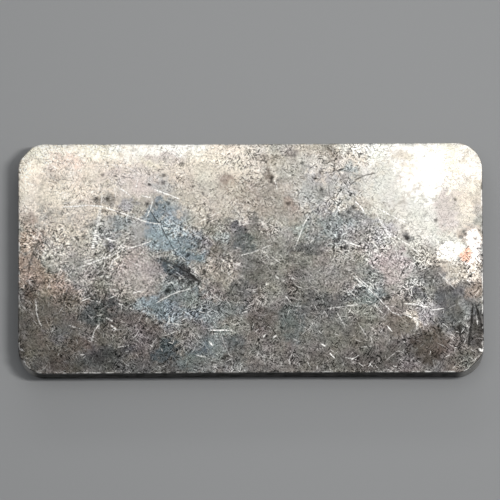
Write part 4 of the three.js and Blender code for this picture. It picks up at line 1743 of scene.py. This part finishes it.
@dataclass
class IngotBody:
    """The bar's worn metal body."""

    sizes: BarSizes
    title: str = "silver_bar"
    knocks: tuple[Push, ...] = ()
    reliefs: tuple[Relief, ...] = ()
    nicks: int = 70
    seed: int = 11
    nick_depths_mm: Span = (0.015, 0.05)
    nick_reaches_mm: Span = (0.25, 0.45)
    nick_inset: float = 0.08 * MM
    nick_grip: float = 0.16 * MM
    nick_dip: float = 0.7
    long_side_share: float = 2 / 3
    piece: bpy.types.Object = field(init=False)

    def build(self) -> bpy.types.Object:
        """Models the whole bar.

        Returns:
            The finished piece.
        """
        self.sweep_rim()
        self.lay_core()
        self.close_underside()
        self.draw_in_sides()
        self.knock()
        self.nick_rim()
        self.wear_skin()
        bpy.ops.object.select_all(action="DESELECT")
        self.piece.select_set(True)
        bpy.ops.object.shade_smooth_by_angle(angle=math.radians(50))
        return self.piece

    def choose(self, pick: Pick, test: Callable[[bmesh.types.BMVert | bmesh.types.BMEdge], bool]) -> int:
        """Selects what a test accepts, and nothing else.

        Args:
            pick: Whether corners or edges are tested.
            test: Says whether one is chosen.

        Returns:
            How many were chosen.
        """
        bpy.ops.mesh.select_mode(type=pick.value)
        bpy.ops.mesh.select_all(action="DESELECT")
        mesh = bmesh.from_edit_mesh(self.piece.data)
        found = [part for part in (mesh.verts if pick is Pick.CORNER else mesh.edges) if test(part)]
        for part in found:
            part.select_set(True)
        mesh.select_flush_mode()
        bmesh.update_edit_mesh(self.piece.data)
        return len(found)

    def sides(self) -> list[Side]:
        """Lists the four straight sides in the order in which the rim is swept.

        Returns:
            The sides.
        """
        size = self.sizes
        x, y = size.corner_x, size.corner_y
        plan = (
            ((0, 1, 0), (x, y, 0)),
            ((-1, 0, 0), (-x, y, 0)),
            ((0, -1, 0), (-x, -y, 0)),
            ((1, 0, 0), (x, -y, 0)),
        )
        made = []
        for heading, corner in plan:
            span = 2 * (y if heading[1] else x)
            made.append(Side(Vector(heading), Vector(corner), span, size.coarse(span)))
        return made

    def sweep_rim(self) -> None:
        """Draws the rim's section at one corner and sweeps it along the sides and round the corners."""
        size = self.sizes
        section = size.section()
        bpy.ops.object.select_all(action="DESELECT")
        start = (size.corner_x, -size.corner_y, size.thickness)
        bpy.ops.mesh.primitive_plane_add(size=size.cell, location=start)
        self.piece = bpy.context.object
        self.piece.name = self.title
        self.piece.data.name = self.title
        bpy.ops.object.transform_apply(location=True)
        bpy.ops.object.mode_set(mode="EDIT")
        bpy.ops.mesh.select_mode(type="VERT")
        bpy.ops.mesh.select_all(action="SELECT")
        bpy.ops.mesh.merge(type="CENTER")
        for (out, height), (next_out, next_height) in zip(section, section[1:]):
            step = (next_out - out, 0, next_height - height)
            bpy.ops.mesh.extrude_vertices_move(TRANSFORM_OT_translate={"value": step})
        self.choose(Pick.EDGE, lambda edge: True)
        for side in self.sides():
            self.run_side(side)
        bpy.ops.mesh.select_all(action="SELECT")
        bpy.ops.mesh.remove_doubles(threshold=NEAR)

    def run_side(self, side: Side) -> None:
        """Extrudes the section along one side, cuts that into cells and spins it round the next corner.

        Args:
            side: The side that is made.
        """
        coarse_cell = side.span / side.steps

        def ahead(corner: bmesh.types.BMVert) -> float:
            """How far past the next corner's start a corner lies, along the side."""
            return (corner.co - side.corner).dot(side.heading)

        def beside(corner: bmesh.types.BMVert) -> bool:
            """Whether a corner lies in the rim outside the next corner's axis."""
            return (corner.co - side.corner).dot(side.outward) > -NEAR

        def runs(edge: bmesh.types.BMEdge, least: float) -> bool:
            """Whether an edge runs along the side for at least a given length."""
            return abs(ahead(edge.verts[0]) - ahead(edge.verts[1])) > least * 0.9

        bpy.ops.mesh.extrude_region_move(TRANSFORM_OT_translate={"value": tuple(side.heading * side.span)})
        self.choose(Pick.EDGE, lambda edge: runs(edge, side.span))
        bpy.ops.mesh.subdivide(number_cuts=side.steps - 1)
        self.choose(
            Pick.EDGE,
            lambda edge: runs(edge, coarse_cell)
            and all(beside(v) and -side.span - NEAR < ahead(v) < NEAR for v in edge.verts),
        )
        bpy.ops.mesh.subdivide(number_cuts=self.sizes.fine_steps - 1)
        self.choose(Pick.EDGE, lambda edge: all(beside(v) and abs(ahead(v)) < NEAR for v in edge.verts))
        bpy.ops.mesh.spin(
            steps=self.sizes.corner_steps,
            angle=-math.pi / 2,
            center=tuple(side.corner),
            axis=(0, 0, 1),
        )

    def lay_core(self) -> None:
        """Fills the upper face inside the rim with a fine grid."""
        size = self.sizes
        across = [size.coarse(2 * half) * size.fine_steps for half in (size.corner_x, size.corner_y)]
        bpy.ops.object.mode_set(mode="OBJECT")
        bpy.ops.object.select_all(action="DESELECT")
        bpy.ops.mesh.primitive_grid_add(
            x_subdivisions=across[0], y_subdivisions=across[1], size=1, location=(0, 0, size.thickness)
        )
        core = bpy.context.object
        bpy.ops.object.transform_apply(location=True)
        bpy.ops.object.mode_set(mode="EDIT")
        bpy.ops.mesh.select_all(action="SELECT")
        bpy.ops.transform.resize(value=(2 * size.corner_x, 2 * size.corner_y, 1), center_override=(0, 0, 0))
        bpy.ops.object.mode_set(mode="OBJECT")
        core.select_set(True)
        self.piece.select_set(True)
        bpy.context.view_layer.objects.active = self.piece
        bpy.ops.object.join()
        bpy.ops.object.mode_set(mode="EDIT")
        bpy.ops.mesh.select_all(action="SELECT")
        bpy.ops.mesh.remove_doubles(threshold=2 * NEAR)

    def close_underside(self) -> None:
        """Closes the flat underside and turns every face outwards."""
        self.choose(Pick.EDGE, lambda edge: edge.is_boundary)
        bpy.ops.mesh.edge_face_add()
        bpy.ops.mesh.select_all(action="SELECT")
        bpy.ops.mesh.normals_make_consistent(inside=False)

    def push(self, pull: Push) -> None:
        """Moves the metal round one place.

        Args:
            pull: Where, which way and how far it moves.
        """
        place = Vector(pull.place)
        if not self.choose(Pick.CORNER, lambda corner: (corner.co - place).length < pull.grip):
            log.warning("nothing to push at %s", pull.place)
            return
        bpy.ops.transform.translate(
            value=pull.way,
            use_proportional_edit=True,
            proportional_edit_falloff=pull.falloff.value,
            proportional_size=pull.reach,
        )

    def draw_in_sides(self) -> None:
        """Draws both long sides in a little towards their middles."""
        size = self.sizes
        for way in (-1, 1):
            edge = way * size.width / 2
            self.choose(Pick.CORNER, lambda v: abs(v.co.x) < size.cell and abs(v.co.y - edge) < NEAR)
            bpy.ops.transform.translate(
                value=(0, -way * size.side_waist, 0),
                use_proportional_edit=True,
                proportional_edit_falloff="SMOOTH",
                proportional_size=size.corner_x,
            )

    def knock(self) -> None:
        """Makes the knocks that the list gives."""
        for knock in self.knocks:
            self.push(knock)

    def nick_rim(self) -> None:
        """Nicks the rim all round, by chance but the same each time."""
        chance = random.Random(self.seed)
        size = self.sizes
        top = size.thickness - size.crown - size.shoulder_drop / 2
        for _ in range(self.nicks):
            along = chance.uniform(-1, 1)
            depth = chance.uniform(*self.nick_depths_mm) * MM
            on_long_side = chance.random() < self.long_side_share
            side = chance.choice((-1, 1))
            if on_long_side:
                place = (along * size.corner_x, side * (size.width / 2 - self.nick_inset), top)
                way = (0, -side * depth, -depth * self.nick_dip)
            else:
                place = (side * (size.length / 2 - self.nick_inset), along * size.corner_y, top)
                way = (-side * depth, 0, -depth * self.nick_dip)
            reach = chance.uniform(*self.nick_reaches_mm) * MM
            self.push(Push(place, way, self.nick_grip, reach, Falloff.SHARP))

    def inset(self, place: Vector) -> float:
        """Measures how far inside the rounded outline a place lies.

        Args:
            place: The place, in metres.

        Returns:
            The distance, in metres.
        """
        size = self.sizes
        past = (abs(place.x) - size.corner_x, abs(place.y) - size.corner_y)
        outside = math.hypot(max(past[0], 0), max(past[1], 0))
        return size.corner_radius - outside - min(max(past), 0)

    def group(self, title: str, weigh: Callable[[Vector], float]) -> None:
        """Makes a vertex group.

        Args:
            title: The group's name.
            weigh: Gives the weight of a place, from 0 to 1.
        """
        group = self.piece.vertex_groups.new(name=title)
        for corner in self.piece.data.vertices:
            weight = weigh(corner.co)
            if weight > 0:
                group.add((corner.index,), weight, "REPLACE")

    def wear_skin(self) -> None:
        """Sinks the skin unevenly, everywhere but on the flat underside."""
        size = self.sizes
        foot = 2 * size.heel_radius
        bpy.ops.object.mode_set(mode="OBJECT")

        def off_floor(place: Vector) -> float:
            """Weighs a place by its height, so that the walls stay nearly true."""
            return min(max((place.z - foot) / (size.thickness - 2 * foot), 0), 1) ** 2

        def near_rim(place: Vector) -> float:
            """Weighs a place by how near it lies to the upper rim."""
            return off_floor(place) * max(1 - self.inset(place) / size.rim_reach, 0)

        self.group("skin", off_floor)
        self.group("rim", near_rim)
        for relief in self.reliefs:
            texture = bpy.data.textures.new(relief.title, "CLOUDS")
            texture.noise_scale = relief.size
            texture.noise_depth = 2
            skin = self.piece.modifiers.new(relief.title, "DISPLACE")
            skin.texture = texture
            skin.texture_coords = "LOCAL"
            skin.direction = "NORMAL"
            skin.mid_level = 1.0
            skin.strength = relief.depth
            skin.vertex_group = relief.group
            bpy.ops.object.modifier_apply(modifier=skin.name)
            bpy.data.textures.remove(texture)
        self.piece.vertex_groups.clear()

    def report(self) -> None:
        """Logs what was made."""
        self.piece.data.calc_loop_triangles()
        log.info("%s: %d triangles", self.piece.name, len(self.piece.data.loop_triangles))


# ---------------------------------------------------------------- studio


@dataclass(frozen=True)
class Lamp:
    """A soft rectangular lamp. Place, aim and size are in mm, and glow is its own brightness."""

    title: str
    place: Place
    size: Point
    glow: float
    aim: Place = (0, 0, 0)
    tint: Colour = (1.0, 0.99, 0.97)

    def hang(self) -> bpy.types.Object:
        """Adds the lamp.

        Returns:
            The lamp's object.
        """
        width, height = (side * MM for side in self.size)
        light = bpy.data.lights.new(self.title, "AREA")
        light.shape = "RECTANGLE"
        light.size = width
        light.size_y = height
        light.energy = self.glow * math.pi * width * height
        light.color = self.tint
        lamp = bpy.data.objects.new(self.title, light)
        lamp.location = Vector(self.place) * MM
        aim = Vector(self.aim) * MM - lamp.location
        lamp.rotation_euler = aim.to_track_quat("-Z", "Y").to_euler()
        lamp.visible_camera = False
        bpy.context.scene.collection.objects.link(lamp)
        return lamp


LAMPS = (
    Lamp("east_strip", (50, 0, 180), (12, 44), 81.0),
    Lamp("window", (-10, 30, 190), (130, 84), 1.13),
    Lamp("north_sill", (-20, 150, 90), (160, 30), 2.2),
)


@dataclass(frozen=True)
class Studio:
    """A pale floor under a soft sky, with its lamps and the camera."""

    floor_tone: Colour = (0.400, 0.407, 0.416)
    floor_span: float = 1.6
    floor_gap: float = 0.02 * MM
    floor_roughness: float = 0.9
    floor_gloss: float = 0.1
    sky_level: float = 0.215
    sky_tint: Colour = (0.96, 0.98, 1.0)
    sky_north: Span = (-0.5, 0.9)
    sky_range: Span = (0.9, 1.2)
    backdrop: Colour = (0.80, 0.81, 0.82)
    view_distance: float = 0.75
    elevation: float = 81.8
    roll: float = -0.22
    frame_width: float = 53.69 * MM
    aim: Place = (-0.075 * MM, 0.865 * MM, 3.85 * MM)

    def build(self) -> None:
        """Sets up the floor, the sky, the lamps and the camera."""
        self.lay_floor()
        self.light_sky()
        for lamp in LAMPS:
            lamp.hang()
        self.set_camera()

    def lay_floor(self) -> None:
        """Lays a matt pale floor."""
        bpy.ops.object.select_all(action="DESELECT")
        bpy.ops.mesh.primitive_plane_add(size=self.floor_span, location=(0, 0, -self.floor_gap))
        floor = bpy.context.object
        floor.name = "floor"
        material = bpy.data.materials.new("pale_floor")
        material.use_nodes = True
        shader = material.node_tree.nodes["Principled BSDF"]
        shader.inputs["Base Color"].default_value = (*self.floor_tone, 1)
        shader.inputs["Roughness"].default_value = self.floor_roughness
        shader.inputs["Specular IOR Level"].default_value = self.floor_gloss
        floor.data.materials.append(material)

    def light_sky(self) -> None:
        """Lights the scene from a plain sky that the camera sees as a pale backdrop."""
        world = bpy.data.worlds.new("sky")
        world.use_nodes = True
        bpy.context.scene.world = world
        tree = world.node_tree
        tree.nodes.clear()
        sheet = Sheet(tree)
        toward = sheet.add("TexCoord").outputs["Generated"]
        parts = sheet.add("SeparateXYZ", {0: toward})
        north = sheet.ease(parts.outputs[1], *self.sky_north)
        south_level, north_level = (self.sky_level * share for share in self.sky_range)
        level = sheet.remap(north, 0.0, 1.0, south_level, north_level)
        glow = sheet.add("Background", {"Color": self.sky_tint, "Strength": level})
        seen = sheet.add("Background", {"Color": self.backdrop, "Strength": 1.0})
        camera_ray = sheet.add("LightPath").outputs["Is Camera Ray"]
        mixed = sheet.add("MixShader", {0: camera_ray, 1: glow.outputs[0], 2: seen.outputs[0]})
        output = sheet.add("OutputWorld")
        sheet.tree.links.new(mixed.outputs[0], output.inputs["Surface"])

    def set_camera(self) -> None:
        """Sets a long lens almost straight over the bar."""
        data = bpy.data.cameras.new("camera")
        data.sensor_width = 36.0
        data.lens = data.sensor_width * self.view_distance / self.frame_width
        data.clip_start = 0.01
        camera = bpy.data.objects.new("camera", data)
        rise = math.radians(self.elevation)
        back = Vector((0, -math.cos(rise), math.sin(rise)))
        camera.location = Vector(self.aim) + back * self.view_distance
        turn = (-back).to_track_quat("-Z", "Y").to_matrix().to_4x4()
        camera.rotation_euler = turn.to_euler()
        camera.rotation_euler.rotate_axis("Z", math.radians(self.roll))
        bpy.context.scene.collection.objects.link(camera)
        bpy.context.scene.camera = camera
        bpy.context.scene.view_settings.view_transform = "Standard"


# ---------------------------------------------------------------- the scene


KNOCKS = (
    Push((24.2 * MM, -11.6 * MM, 3.75 * MM), (-0.16 * MM, 0.13 * MM, -0.08 * MM), 0.2 * MM, 1.6 * MM),
    Push((-24.2 * MM, 11.6 * MM, 3.75 * MM), (0.10 * MM, -0.07 * MM, -0.03 * MM), 0.2 * MM, 1.0 * MM),
    Push(
        (-24.9 * MM, -9.9 * MM, 3.7 * MM),
        (0.10 * MM, 0.03 * MM, -0.10 * MM),
        0.25 * MM,
        0.6 * MM,
        Falloff.SHARP,
    ),
    Push(
        (-24.6 * MM, -11.0 * MM, 3.7 * MM),
        (0.08 * MM, 0.05 * MM, -0.06 * MM),
        0.2 * MM,
        0.4 * MM,
        Falloff.SHARP,
    ),
)

RELIEFS = (
    Relief("broad sag", 6.0 * MM, 0.03 * MM, "skin"),
    Relief("hammering", 1.6 * MM, 0.018 * MM, "skin"),
    Relief("grain", 0.55 * MM, 0.010 * MM, "skin"),
    Relief("ragged rim", 0.6 * MM, 0.03 * MM, "rim"),
)


def main() -> None:
    """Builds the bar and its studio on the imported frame."""
    logging.basicConfig(level=logging.INFO, format="%(name)s: %(message)s")
    low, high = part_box(NODE)
    span = high - low
    sizes = BarSizes(span.x, span.y, span.z)
    bar = IngotBody(sizes, knocks=KNOCKS, reliefs=RELIEFS)
    piece = bar.build()
    PatinaAndLight(STAINS, GRAINS, PITS).lay(piece)
    SilverFinish().dress(piece, sizes)
    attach(piece, BODY)
    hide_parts(NODE)
    bar.report()
    Studio().build()


if __name__ == "__main__":
    main()
